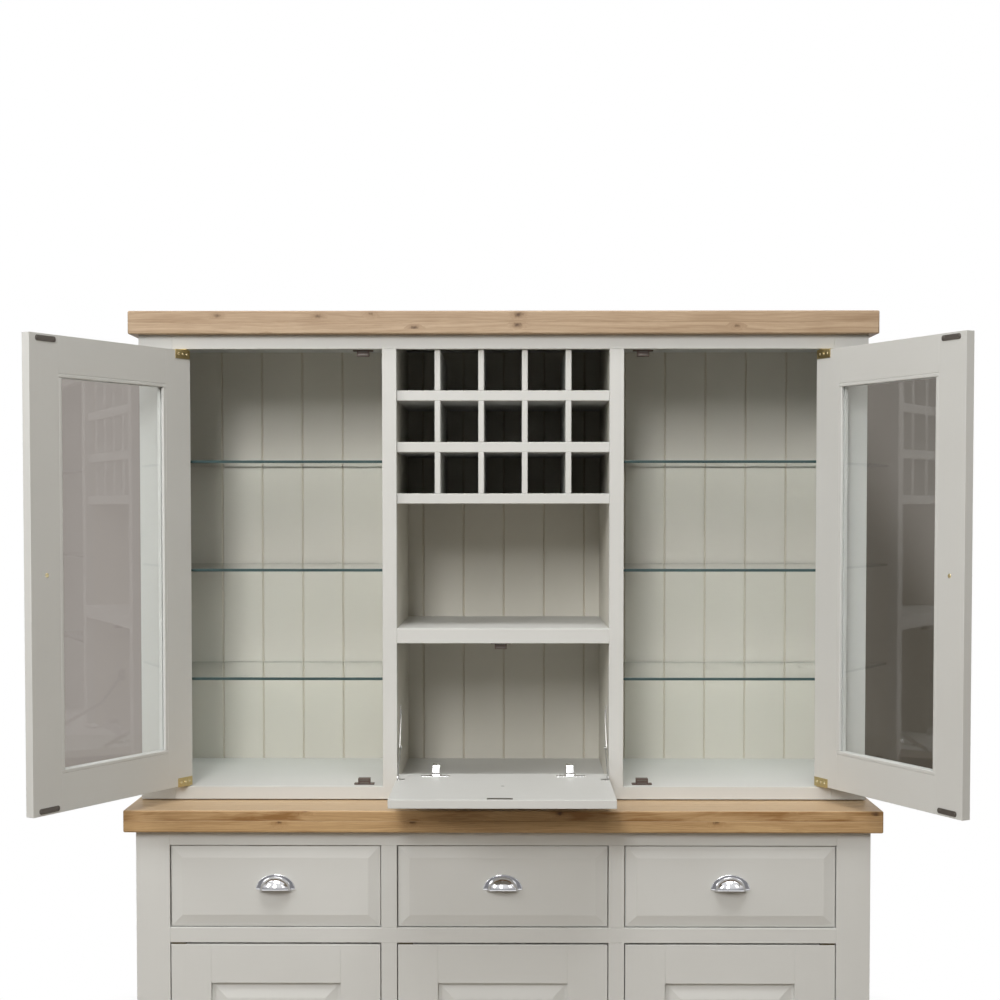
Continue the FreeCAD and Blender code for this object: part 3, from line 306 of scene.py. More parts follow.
    band = wire(tree, "MapRange", {"Value": rings, "From Min": 0.36, "From Max": 0.64}).outputs[0]
    streak = wire(tree, "MapRange", {"Value": fibres, "From Min": 0.3, "From Max": 0.7, "To Min": -0.20,
                                     "To Max": 0.16}).outputs[0]
    deep = wire(tree, "Math", {0: stain_and_sheen, 1: 2.2, 2: 0.22}, operation="MULTIPLY_ADD", use_clamp=True).outputs[0]
    tone = wire(tree, "Math", {0: clouds, 1: deep, 2: streak}, operation="MULTIPLY_ADD").outputs[0]
    tone = wire(tree, "Math", {0: chance.outputs["Value"], 1: 0.16, 2: tone}, operation="MULTIPLY_ADD").outputs[0]
    tone = wire(tree, "Math", {0: stain_and_sheen, 1: 0.35, 2: tone}, operation="MULTIPLY_ADD").outputs[0]
    tone = wire(tree, "Math", {0: band, 1: 0.42, 2: tone}, operation="MULTIPLY_ADD", use_clamp=True).outputs[0]
    wood = wire(tree, "Mix", {0: tone, 6: pale, 7: dark}, data_type="RGBA").outputs[2]
    # Top faces carry a negative value, so they go paler and lose their clouds: a painted sheen.
    tint_shift = wire(tree, "Math", {0: sheen_mark, 1: -1.7}, operation="MULTIPLY").outputs[0]
    wood = wire(tree, "Mix", {0: tint_shift, 6: wood, 7: PAINTED_SHEEN_OAK}, data_type="RGBA").outputs[2]
    pored = wire(tree, "Math", {0: pores, 1: 0.42}, operation="MULTIPLY").outputs[0]
    wood = wire(tree, "Mix", {0: pored, 6: wood, 7: dark}, data_type="RGBA").outputs[2]
    warm = wire(tree, "Math", {0: swell, 1: 0.85}, operation="MULTIPLY").outputs[0]
    wood = wire(tree, "Mix", {0: warm, 6: wood, 7: dark}, data_type="RGBA").outputs[2]
    wood = wire(tree, "Mix", {0: core, 6: wood, 7: knot}, data_type="RGBA").outputs[2]
    gloss = wire(tree, "MapRange", {"Value": band, "To Min": OILED[0], "To Max": OILED[1]}).outputs[0]
    height = wire(tree, "Math", {0: pores, 1: -0.6, 2: fibres}, operation="MULTIPLY_ADD").outputs[0]
    relief = wire(tree, "Bump", {"Height": height, "Strength": 0.25, "Distance": 0.0004}).outputs[0]
    tree.links.new(wood, surface.inputs["Base Color"])
    tree.links.new(gloss, surface.inputs["Roughness"])
    tree.links.new(relief, surface.inputs["Normal"])
    return finish


def stain_and_sheen_layers(piece, glue_line, upper_front, top_sheen):
    """Deepens the tone of the upper layer's edges and paints a paler sheen on the top face."""
    mesh = piece.data
    stain_and_sheen = mesh.attributes.new("stain_and_sheen", "FLOAT", "FACE").data
    for polygon in mesh.polygons:
        if polygon.normal.z > 0.7:
            stain_and_sheen[polygon.index].value = top_sheen
        elif polygon.center.z > glue_line:
            stain_and_sheen[polygon.index].value = upper_front


golden_oak = oiled_oak("golden_oak", pale=(0.58, 0.395, 0.205, 1), dark=(0.255, 0.128, 0.042, 1),
                       knot=(0.088, 0.044, 0.019, 1))
worktop_low, worktop_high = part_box("worktop")
UPPER_LAYER = 0.022
worktop_line = worktop_high[2] - UPPER_LAYER
worktop = stand_in(eased_copy("worktop", OAK_ARRIS, worktop_line), "worktop", golden_oak)
# The negative value for the top face paints a paler sheen there.
stain_and_sheen_layers(worktop, worktop_line, upper_front=0.34, top_sheen=-0.22)

# Hutch carcass, face frame, wine rack and display shelf: painted boards as in the base.
# The rack's short uprights are let in between its shelves, and the thick display shelf is flush with the frame.
# The dividers carry the creamier coat of the inside. The frame stops a hair above the worktop.
inside_paint = satin_paint("inside_paint", full=(0.652, 0.630, 0.562, 1), thin_coat=(0.616, 0.594, 0.524, 1))
for carcass in ("hutch_sides", "hutch_floor", "wine_rack_shelves", "wine_rack_uprights", "display_shelf"):
    stand_in(eased_copy(carcass, BOARD_ARRIS), carcass, painted)
stand_in(eased_copy("hutch_dividers", BOARD_ARRIS), "hutch_dividers", inside_paint)
SHADOW_LINE = 0.0024
hutch_front = stand_in(eased_copy("hutch_face_frame", FRAME_ARRIS), "hutch_face_frame", painted)
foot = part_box("hutch_face_frame")[0][2] + FRAME_ARRIS * 1.5
for corner in hutch_front.data.vertices:
    if corner.co.z < foot:
        corner.co.z += SHADOW_LINE

# Hutch back: one painted panel with V grooves run down it, so that it looks like tongued boards.
# The groove faces take a darker paint: painted shade in the grooves.
GROOVE_ARRIS = 0.0003
PANEL_EDGE = 0.01
groove_painted_shade = satin_paint("groove_painted_shade", full=(0.640, 0.600, 0.515, 1), thin_coat=(0.590, 0.552, 0.470, 1))
hutch_back = stand_in(eased_copy("hutch_back", GROOVE_ARRIS), "hutch_back", inside_paint)
hutch_back.data.materials.append(groove_painted_shade)
back_low, back_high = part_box("hutch_back")
# Groove faces get the darker paint: painted shade.
for polygon in hutch_back.data.polygons:
    inside = back_low[0] + PANEL_EDGE < polygon.center.x < back_high[0] - PANEL_EDGE
    polygon.material_index = 1 if inside and abs(polygon.normal.x) > 0.3 else 0

# Hutch top: two glued layers of paler knotty oak that overhang the frame on three sides.
# Its underside is painted with the carcass where it roofs the hutch.
pale_oak = oiled_oak("pale_oak", pale=(0.515, 0.386, 0.262, 1), dark=(0.270, 0.170, 0.095, 1),
                     knot=(0.110, 0.065, 0.037, 1))
oak_low, oak_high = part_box("hutch_top")
oak_line = (oak_low[2] + oak_high[2]) / 2
oak_top = stand_in(eased_copy("hutch_top", OAK_ARRIS, oak_line), "hutch_top", pale_oak)
# The top face is painted a little paler: a painted sheen.
stain_and_sheen_layers(oak_top, oak_line, upper_front=0.04, top_sheen=-0.1)
oak_top.data.materials.append(painted)
lining_low, lining_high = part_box("hutch_floor")
bpy.ops.object.select_all(action="DESELECT")
oak_top.select_set(True)
bpy.context.view_layer.objects.active = oak_top


def is_underside(polygon):
    """Tells the faces of the top's flat underside."""
    return polygon.normal.z < -0.99 and polygon.center.z < oak_low[2] + 1e-4


for axis, place in ((0, lining_low[0]), (0, lining_high[0]), (1, lining_low[1]), (1, lining_high[1])):
    bpy.ops.object.mode_set(mode="EDIT")
    bpy.ops.mesh.select_mode(type="FACE")
    bpy.ops.mesh.select_all(action="DESELECT")
    bpy.ops.object.mode_set(mode="OBJECT")
    for polygon in oak_top.data.polygons:
        polygon.select = is_underside(polygon)
    bpy.ops.object.mode_set(mode="EDIT")
    wall = [0.0, 0.0, 0.0]
    wall[axis] = place
    bpy.ops.mesh.bisect(plane_co=wall, plane_no=(1 - axis, axis, 0))
    bpy.ops.object.mode_set(mode="OBJECT")
for polygon in oak_top.data.polygons:
    inside = all(lining_low[axis] < polygon.center[axis] < lining_high[axis] for axis in (0, 1))
    if inside and is_underside(polygon):
        polygon.material_index = 1

# Glass shelves: clear float glass with polished edges.
# The edges look blue-green, because light runs far inside the sheet before it comes out there.
# Each shelf lies on four plated pins pushed into the cabinet's walls.
GLASS_ARRIS = 0.0006
SHELF_LETS_THROUGH = 0.93


def clear_glass(name, tint, lets_through):
    """Glass that bends and mirrors light, and lets the lamps through."""
    finish, tree, surface = new_finish(name)
    place = wire(tree, "TexCoord", {}).outputs["Object"]
    ripple = wire(tree, "TexNoise", {"Vector": place, "Scale": 3.5, "Detail": 2}).outputs["Fac"]
    relief = wire(tree, "Bump", {"Height": ripple, "Strength": 0.04, "Distance": 0.001}).outputs[0]
    surface.inputs["Base Color"].default_value = tint
    surface.inputs["Roughness"].default_value = 0.0
    surface.inputs["Transmission Weight"].default_value = 1.0
    surface.inputs["IOR"].default_value = 1.5
    tree.links.new(relief, surface.inputs["Normal"])
    lamp = wire(tree, "LightPath", {}).outputs["Is Shadow Ray"]
    cast = [lets_through * share for share in tint[:3]] + [1]
    through = wire(tree, "BsdfTransparent", {"Color": cast}).outputs[0]
    both = wire(tree, "MixShader", {0: lamp, 1: surface.outputs[0], 2: through}).outputs[0]
    tree.links.new(both, tree.nodes["Material Output"].inputs["Surface"])
    return finish


shelf_glass = clear_glass("shelf_glass", (0.966, 0.986, 0.978, 1), SHELF_LETS_THROUGH)
EDGE_DEEP = (0.034, 0.062, 0.066, 1)
EDGE_LIT = (0.100, 0.175, 0.176, 1)
edge_glass, edge_tree, edge_surface = new_finish("shelf_edge_glass")
edge_place = wire(edge_tree, "TexCoord", {}).outputs["Object"]
edge_run = wire(edge_tree, "Mapping", {"Vector": edge_place, "Scale": (6, 1, 240)}).outputs[0]
edge_flow = wire(edge_tree, "TexNoise", {"Vector": edge_run, "Scale": 1, "Detail": 2}).outputs["Fac"]
edge_tint = wire(edge_tree, "Mix", {0: edge_flow, 6: EDGE_DEEP, 7: EDGE_LIT}, data_type="RGBA").outputs[2]
edge_tree.links.new(edge_tint, edge_surface.inputs["Base Color"])
edge_surface.inputs["Roughness"].default_value = 0.12
edge_surface.inputs["Transmission Weight"].default_value = 0.35
shelves = stand_in(eased_copy("glass_shelves", GLASS_ARRIS), "glass_shelves", shelf_glass)
shelves.data.materials.append(edge_glass)
for polygon in shelves.data.polygons:
    polygon.material_index = 0 if abs(polygon.normal.z) > 0.95 else 1


def plated_metal(name, colour, roughness, brushed):
    """Metal with a faint change of shade and fine rubbing marks."""
    finish, tree, surface = new_finish(name)
    place = wire(tree, "TexCoord", {}).outputs["Object"]
    cloud = wire(tree, "TexNoise", {"Vector": place, "Scale": 60, "Detail": 3}).outputs["Fac"]
    tint_shift = tuple(0.82 * value for value in colour[:3]) + (1,)
    tint = wire(tree, "Mix", {0: cloud, 6: colour, 7: tint_shift}, data_type="RGBA").outputs[2]
    rub = wire(tree, "Mapping", {"Vector": place, "Scale": (250, 2400, 2400)}).outputs[0]
    rub = wire(tree, "TexNoise", {"Vector": rub, "Scale": 1, "Detail": 1}).outputs["Fac"]
    gloss = wire(tree, "MapRange", {"Value": rub, "To Min": roughness, "To Max": roughness + brushed}).outputs[0]
    tree.links.new(tint, surface.inputs["Base Color"])
    tree.links.new(gloss, surface.inputs["Roughness"])
    surface.inputs["Metallic"].default_value = 1.0
    return finish


zinc_plate = plated_metal("zinc_plate", (0.52, 0.515, 0.50, 1), 0.30, 0.16)
METAL_ARRIS = 0.0003
stand_in(eased_copy("shelf_pins", METAL_ARRIS), "shelf_pins", zinc_plate)

# Magnetic catches: moulded brown cases on screw flanges, with two steel poles on the front face.
# The flange is screwed to the floor, the rail block or the shelf that the catch sits on.
CASE_BROWN = (0.060, 0.034, 0.024, 1)
CASE_SCUFFED = (0.092, 0.058, 0.044, 1)
CASE_ARRIS = 0.0008
POLE = (0.0205, 0.0004, 0.0026)
POLE_RISE = 0.0032
POLE_ARRIS = 0.0001
brown_plastic, case_tree, case_surface = new_finish("moulded_brown_plastic")
case_place = wire(case_tree, "TexCoord", {}).outputs["Object"]
case_cloud = wire(case_tree, "TexNoise", {"Vector": case_place, "Scale": 220, "Detail": 3}).outputs["Fac"]
case_tint = wire(case_tree, "Mix", {0: case_cloud, 6: CASE_BROWN, 7: CASE_SCUFFED}, data_type="RGBA").outputs[2]
case_relief = wire(case_tree, "Bump", {"Height": case_cloud, "Strength": 0.2, "Distance": 0.0002}).outputs[0]
case_tree.links.new(case_tint, case_surface.inputs["Base Color"])
case_tree.links.new(case_relief, case_surface.inputs["Normal"])
case_surface.inputs["Roughness"].default_value = 0.45
stand_in(eased_copy("magnetic_catches", CASE_ARRIS), "magnetic_catches", brown_plastic)


def eased_block(name, low, high, arris):
    """A block between two corners with every arris rounded."""
    bpy.ops.object.select_all(action="DESELECT")
    bpy.ops.mesh.primitive_cube_add(size=1)
    block = bpy.context.object
    block.name = name
    bpy.ops.object.mode_set(mode="EDIT")
    bpy.ops.mesh.select_all(action="SELECT")
    bpy.ops.transform.resize(value=Vector(high) - Vector(low))
    bpy.ops.transform.translate(value=(Vector(high) + Vector(low)) / 2)
    bpy.ops.mesh.bevel(offset=arris, segments=2, affect="EDGES")
    bpy.ops.object.mode_set(mode="OBJECT")
    bpy.ops.object.shade_smooth_by_angle(angle=radians(40))
    return block


def joined(name, pieces):
    """Joins pieces that are one fitting into one object."""
    bpy.ops.object.select_all(action="DESELECT")
    for piece in pieces:
        piece.select_set(True)
    bpy.context.view_layer.objects.active = pieces[0]
    if len(pieces) > 1:
        bpy.ops.object.join()
    pieces[0].name = name
    return pieces[0]


poles = []
for corners, _ in closed_solids("magnetic_catches"):
    low = [min(corner[axis] for corner in corners) for axis in range(3)]
    high = [max(corner[axis] for corner in corners) for axis in range(3)]
    middle, height = (low[0] + high[0]) / 2, (low[2] + high[2]) / 2
    for rise in (-POLE_RISE, POLE_RISE):
        start = (middle - POLE[0] / 2, low[1] - POLE[1], height + rise - POLE[2] / 2)
        end = (start[0] + POLE[0], low[1] + POLE[1], start[2] + POLE[2])
        poles.append(eased_block("pole", start, end, POLE_ARRIS))
catch_poles = joined("catch_poles", poles)
aged_steel = plated_metal("aged_steel", (0.165, 0.148, 0.132, 1), 0.38, 0.18)
catch_poles.data.materials.append(aged_steel)
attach(catch_poles, "cabinet")

# Pivot plates: satin brass plates with a pin, screwed to the rails above and below each door.
# Those of the base get a very dark brass: painted shade in the narrow gaps over the doors.
satin_brass = plated_metal("satin_brass", (0.66, 0.52, 0.25, 1), 0.22, 0.14)
shade_painted_brass = plated_metal("shade_painted_brass", (0.120, 0.096, 0.062, 1), 0.46, 0.16)
plates = stand_in(eased_copy("pivot_plates", METAL_ARRIS), "pivot_plates", satin_brass)
plates.data.materials.append(shade_painted_brass)
for polygon in plates.data.polygons:
    polygon.material_index = 1 if polygon.center.z < worktop_low[2] else 0

# Glazed doors: painted frames, rebated at the back for a pane that four beads hold.
# Brass angles at the corners take the pivots' pins, and two plated strikes meet the catches. Screws hold them all.
DOOR_ARRIS = 0.0005
BEAD_ARRIS = 0.0015
STRIKE_CORNER = 0.0045
LEAF_SCREW = 0.0028
LEAF_SCREW_SPREAD = 0.0125
STRIKE_SCREW = 0.0032
STRIKE_SCREW_SPREAD = 0.0205
KNOB_SCREW = 0.0046
PANE_LETS_THROUGH = 0.78
pane_glass = clear_glass("pane_glass", (0.96, 0.975, 0.97, 1), PANE_LETS_THROUGH)


def screw_head():
    """A screw's round head of unit radius on Z: a cylinder with a rounded rim and a cross cut into it."""
    bpy.ops.object.select_all(action="DESELECT")
    bpy.ops.mesh.primitive_cylinder_add(vertices=28, radius=1, depth=0.44, location=(0, 0, 0))
    head = bpy.context.object
    bpy.ops.object.mode_set(mode="EDIT")
    select_arrises(head.data, lambda edge: all(end.co.z > 0.2 for end in edge.verts))
    bpy.ops.mesh.bevel(offset=0.16, segments=3, affect="EDGES")
    bpy.ops.object.mode_set(mode="OBJECT")
    for turn in (0, pi / 2):
        slot = eased_block("slot", (-0.62, -0.11, 0.08), (0.62, 0.11, 0.6), 0.02)
        slot.data.transform(Matrix.Rotation(turn, 4, "Z"))
        cross = head.modifiers.new("cross", "BOOLEAN")
        cross.operation = "DIFFERENCE"
        cross.object = slot
        bpy.ops.object.select_all(action="DESELECT")
        head.select_set(True)
        bpy.context.view_layer.objects.active = head
        bpy.ops.object.modifier_apply(modifier=cross.name)
        bpy.data.objects.remove(slot)
    bpy.ops.object.shade_smooth_by_angle(angle=radians(40))
    shape = head.data
    bpy.data.objects.remove(head)
    return shape


screw_shape = screw_head()


def set_screws(name, places, facing, radius, body, finish):
    """Screws with their heads at the given places, all facing one way, as one piece on a body."""
    heads = []
    for number, place in enumerate(places):
        shape = screw_shape.copy()
        turn = Matrix.Rotation(0.9 * number, 4, "Z")
        lean = Vector((0, 0, 1)).rotation_difference(facing).to_matrix().to_4x4()
        shape.transform(Matrix.Translation(place) @ lean @ turn @ Matrix.Scale(radius, 4))
        head = bpy.data.objects.new(name, shape)
        bpy.context.collection.objects.link(head)
        heads.append(head)
    screws = joined(name, heads)
    screws.data.materials.append(finish)
    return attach(screws, body)


def middle_of(corners):
    """The middle of the box round some corners."""
    return Vector([(min(corner[axis] for corner in corners) + max(corner[axis] for corner in corners)) / 2
                   for axis in range(3)])


def plate_screws(node, facing, along, spread, count):
    """Places for a row of screws on the outer face of each plate of a node."""
    places = []
    for corners, _ in closed_solids(node):
        centre = middle_of(corners)
        centre += facing * (reach(corners, facing)[1] - centre.dot(facing))
        centre += along * (sum(reach(corners, along)) / 2 - centre.dot(along))
        places += [centre + along * spread * (2 * number / (count - 1) - 1) for number in range(count)]
    return places


def through_plate(edge):
    """Tells the short edges that run through a thin plate at its corners."""
    return edge.calc_length() < 0.0015


bright_brass = plated_metal("bright_brass", (0.86, 0.76, 0.50, 1), 0.16, 0.10)
UP = Vector((0, 0, 1))
inner_faces = {}
for side in ("left", "right"):
    door = f"{side}_door"
    for node, arris, finish, slot in (("frame", DOOR_ARRIS, painted, "paint"),
                                      ("beads", BEAD_ARRIS, painted, "paint"),
                                      ("glass", METAL_ARRIS, pane_glass, "glass"),
                                      ("pivot_leaves", METAL_ARRIS, satin_brass, "brass")):
        stand_in(eased_copy(f"{door}_{node}", arris), f"{door}_{node}", finish)
    strikes = eased_copy(f"{door}_strikes", METAL_ARRIS, rounder=(STRIKE_CORNER, through_plate))
    stand_in(strikes, f"{door}_strikes", aged_steel)
    (pane_corners, pane_faces), = closed_solids(f"{door}_glass")
    facing = board_axes(pane_corners, pane_faces)[2]
    strike_corners = closed_solids(f"{door}_strikes")[0][0]
    if (middle_of(strike_corners) - middle_of(pane_corners)).dot(facing) < 0:
        facing = -facing
    inner_faces[side] = facing
    along = facing.cross(UP)
    body = frame["nodes"][f"{door}_frame"]["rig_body"]
    leaf_places = plate_screws(f"{door}_pivot_leaves", facing, along, LEAF_SCREW_SPREAD, 3)
    set_screws(f"{door}_leaf_screws", leaf_places, facing, LEAF_SCREW, body, bright_brass)
    strike_places = plate_screws(f"{door}_strikes", facing, along, STRIKE_SCREW_SPREAD, 2)
    set_screws(f"{door}_strike_screws", strike_places, facing, STRIKE_SCREW, body, aged_steel)
    frame_corners = [corner for corners, _ in closed_solids(f"{door}_frame") for corner in corners]
    knob_corners = closed_solids(f"{door}_knob")[0][0]
    knob_back = (along * (sum(reach(knob_corners, along)) / 2) + UP * (sum(reach(knob_corners, UP)) / 2)
                 + facing * reach(frame_corners, facing)[1])
    set_screws(f"{door}_knob_screw", [knob_back], facing, KNOB_SCREW, body, bright_brass)

# Flap: a painted board on two bright hinges, held level by a folding stay at each side.
# The hinges' flanges and the strike are screwed to its inner face, and the knob's screw comes through it.
# A raked cover hides the screws of each hinge arm.
FLAP_ARRIS = 0.0009
ARM_RISE = 0.027
ARM_CROWN = 0.0085
ARM_NOSE = -0.125
COVER = (0.0160, 0.0340, 0.0145)
COVER_RAKE = 0.0075
COVER_INSET = 0.0035
COVER_ARRIS = 0.0009
FLANGE_AT_LEAST = 0.058
STRIKE_AT_LEAST = 0.04
FLANGE_SCREW = 0.0032
FLANGE_SCREW_INSET = (0.006, 0.008)
FLAP_KNOB_SCREW = 0.0040
bright_nickel = plated_metal("bright_nickel", (0.90, 0.90, 0.90, 1), 0.18, 0.10)
polished_chrome = plated_metal("polished_chrome", (0.74, 0.74, 0.76, 1), 0.06, 0.05)
stand_in(eased_copy("flap_panel", FLAP_ARRIS), "flap_panel", painted)
fittings = stand_in(eased_copy("flap_fittings", METAL_ARRIS), "flap_fittings", bright_nickel)
arm_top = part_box("hutch_floor")[1][2] + ARM_RISE


def on_arm_nose(edge):
    """Tells the upper edges at the front of a hinge arm."""
    return all(arm_top < end.co.z < arm_top + 0.001 and end.co.y < ARM_NOSE for end in edge.verts)


crowned = eased_copy("flap_cabinet_fittings", METAL_ARRIS, rounder=(ARM_CROWN, on_arm_nose))
stand_in(crowned, "flap_cabinet_fittings", bright_nickel)
covers = []
for corners, _ in closed_solids("flap_cabinet_fittings")[:2]:
    middle = middle_of(corners).x
    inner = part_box("hutch_dividers")[0][1] + COVER_INSET
    cover = eased_block("cover", (middle - COVER[0] / 2, inner, arm_top - 0.001),
                        (middle + COVER[0] / 2, inner + COVER[1], arm_top + COVER[2]), COVER_ARRIS)
    for vertex in cover.data.vertices:
        if vertex.co.y < inner + 0.01:
            vertex.co.y += COVER_RAKE * (vertex.co.z - arm_top) / COVER[2]
    covers.append(cover)
hinge_covers = joined("hinge_covers", covers)
hinge_covers.data.materials.append(bright_nickel)
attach(hinge_covers, "cabinet")
fittings.data.materials.append(zinc_plate)
fittings.data.materials.append(aged_steel)
flap_solids = closed_solids("flap_fittings")
flange_screws = []
for number, (corners, _) in enumerate(flap_solids):
    low, high = reach(corners, Vector((1, 0, 0)))
    if high - low > FLANGE_AT_LEAST:
        front = reach(corners, Vector((0, 1, 0)))[0] + FLANGE_SCREW_INSET[1]
        for place in (low + FLANGE_SCREW_INSET[0], high - FLANGE_SCREW_INSET[0]):
            flange_screws.append(Vector((place, front, reach(corners, UP)[1])))
    else:
        for polygon in fittings.data.polygons:
            if fittings.data.attributes["solid"].data[polygon.index].value == number:
                polygon.material_index = 2 if high - low > STRIKE_AT_LEAST else 1
set_screws("flap_hinge_screws", flange_screws, UP, FLANGE_SCREW, "flap", zinc_plate)
knob_low, knob_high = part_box("flap_knob")
knob_back = Vector((0, (knob_low[1] + knob_high[1]) / 2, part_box("flap_panel")[1][2]))
set_screws("flap_knob_screw", [knob_back], UP, FLAP_KNOB_SCREW, "flap", zinc_plate)
for side in ("left", "right"):
    for arm in ("upper", "lower"):
        stand_in(eased_copy(f"{side}_stay_{arm}_arm", METAL_ARRIS), f"{side}_stay_{arm}_arm", zinc_plate)

# Drawers: painted fronts with a bevelled border, each screwed to a box of plain pale wood.
# The box has two sides, a back and a thin bottom, and slides on the deck between the guides.
pale_wood = oiled_oak("pale_wood", pale=(0.62, 0.48, 0.32, 1), dark=(0.50, 0.36, 0.22, 1), knot=(0.42, 0.29, 0.17, 1))
for bay in ("left", "middle", "right"):
    stand_in(eased_copy(f"{bay}_drawer_front", DOOR_ARRIS), f"{bay}_drawer_front", painted)
    stand_in(eased_copy(f"{bay}_drawer_box", BOARD_ARRIS), f"{bay}_drawer_box", pale_wood)

# Cupboard doors: painted frames jointed round a raised panel, set flush in the face frame.
# They hang on brass pivots like those of the glazed doors and carry a strike for their catch.
for bay in ("left", "middle", "right"):
    stand_in(eased_copy(f"{bay}_cupboard_door", FRAME_ARRIS), f"{bay}_cupboard_door", painted)
    # Their fittings take the very dark brass: painted shade in the gaps round the doors.
    stand_in(eased_copy(f"{bay}_cupboard_fittings", METAL_ARRIS), f"{bay}_cupboard_fittings", shade_painted_brass)

# Knobs: small turned chrome knobs on the outer faces of the doors and the flap, drawn up by a screw from behind.
# Each has a rosette, a waist and a crowned head.
KNOB_PROFILE = ((0.0100, 0.0000), (0.0100, 0.0018), (0.0093, 0.0028), (0.0076, 0.0034), (0.0064, 0.0052),
                (0.0058, 0.0082), (0.0062, 0.0120), (0.0082, 0.0154), (0.0120, 0.0174), (0.0143, 0.0194),
                (0.0150, 0.0216), (0.0145, 0.0241), (0.0128, 0.0261), (0.0094, 0.0274), (0.0048, 0.0279),
                (0.0000, 0.0280))


def turned_knob():
    """The knob's profile spun about Z."""
    shape = bpy.data.meshes.new("knob")
    shape.from_pydata([(radius, 0, height) for radius, height in KNOB_PROFILE],
                      [(step, step + 1) for step in range(len(KNOB_PROFILE) - 1)], [])
    knob = bpy.data.objects.new("knob", shape)
    bpy.context.collection.objects.link(knob)
    bpy.ops.object.select_all(action="DESELECT")
    knob.select_set(True)
    bpy.context.view_layer.objects.active = knob
    bpy.ops.object.mode_set(mode="EDIT")
    bpy.ops.mesh.select_all(action="SELECT")
    bpy.ops.mesh.spin(steps=48, angle=2 * pi, center=(0, 0, 0), axis=(0, 0, 1))
    bpy.ops.mesh.select_all(action="SELECT")
    bpy.ops.mesh.remove_doubles(threshold=1e-6)
    bpy.ops.mesh.normals_make_consistent(inside=False)
    bpy.ops.object.mode_set(mode="OBJECT")
    bpy.ops.object.shade_smooth_by_angle(angle=radians(38))
    bpy.data.objects.remove(knob)
    return shape


knob_shape = turned_knob()
FORWARD = Vector((0, -1, 0))
for owner, outward in (("left_door", -inner_faces["left"]), ("right_door", -inner_faces["right"]), ("flap", -UP),
                       ("left_cupboard", FORWARD), ("middle_cupboard", FORWARD), ("right_cupboard", FORWARD)):
    node = f"{owner}_knob"
    corners = [vertex.co for vertex in frame["nodes"][node].data.vertices]
    foot = outward * reach(corners, outward)[0]
    for axis in (outward.orthogonal().normalized(), outward.cross(outward.orthogonal()).normalized()):
        foot += axis * (sum(reach(corners, axis)) / 2)
    shape = knob_shape.copy()
    shape.transform(Matrix.Translation(foot) @ UP.rotation_difference(outward).to_matrix().to_4x4())
    knob = bpy.data.objects.new(f"{owner}_turned_knob", shape)
    bpy.context.collection.objects.link(knob)
    stand_in(knob, node, polished_chrome)

# Cup pulls: cast half cups of polished chrome on a crescent flange, two screws from inside the drawer.
# The cup is open below for the fingers, with a rolled lip.
PULL_EAR = 0.0080
PULL_BROW = 0.004
PULL_LIP = 0.003
PULL_RAKE = 0.225
PULL_WALL = 0.0018
PULL_FLANGE = 0.0026
LIP_ARRIS = 0.0005
EAR_CORNER = 0.0038
FLANGE_ARRIS = 0.0011


def cut_away(plane, keep):
    """Cuts all of the mesh in edit mode at a plane through the origin and keeps one side."""
    bpy.ops.mesh.select_all(action="SELECT")
    bpy.ops.mesh.bisect(plane_co=(0, 0, 0), plane_no=plane, clear_inner=keep > 0, clear_outer=keep < 0)
    bpy.ops.mesh.select_all(action="SELECT")


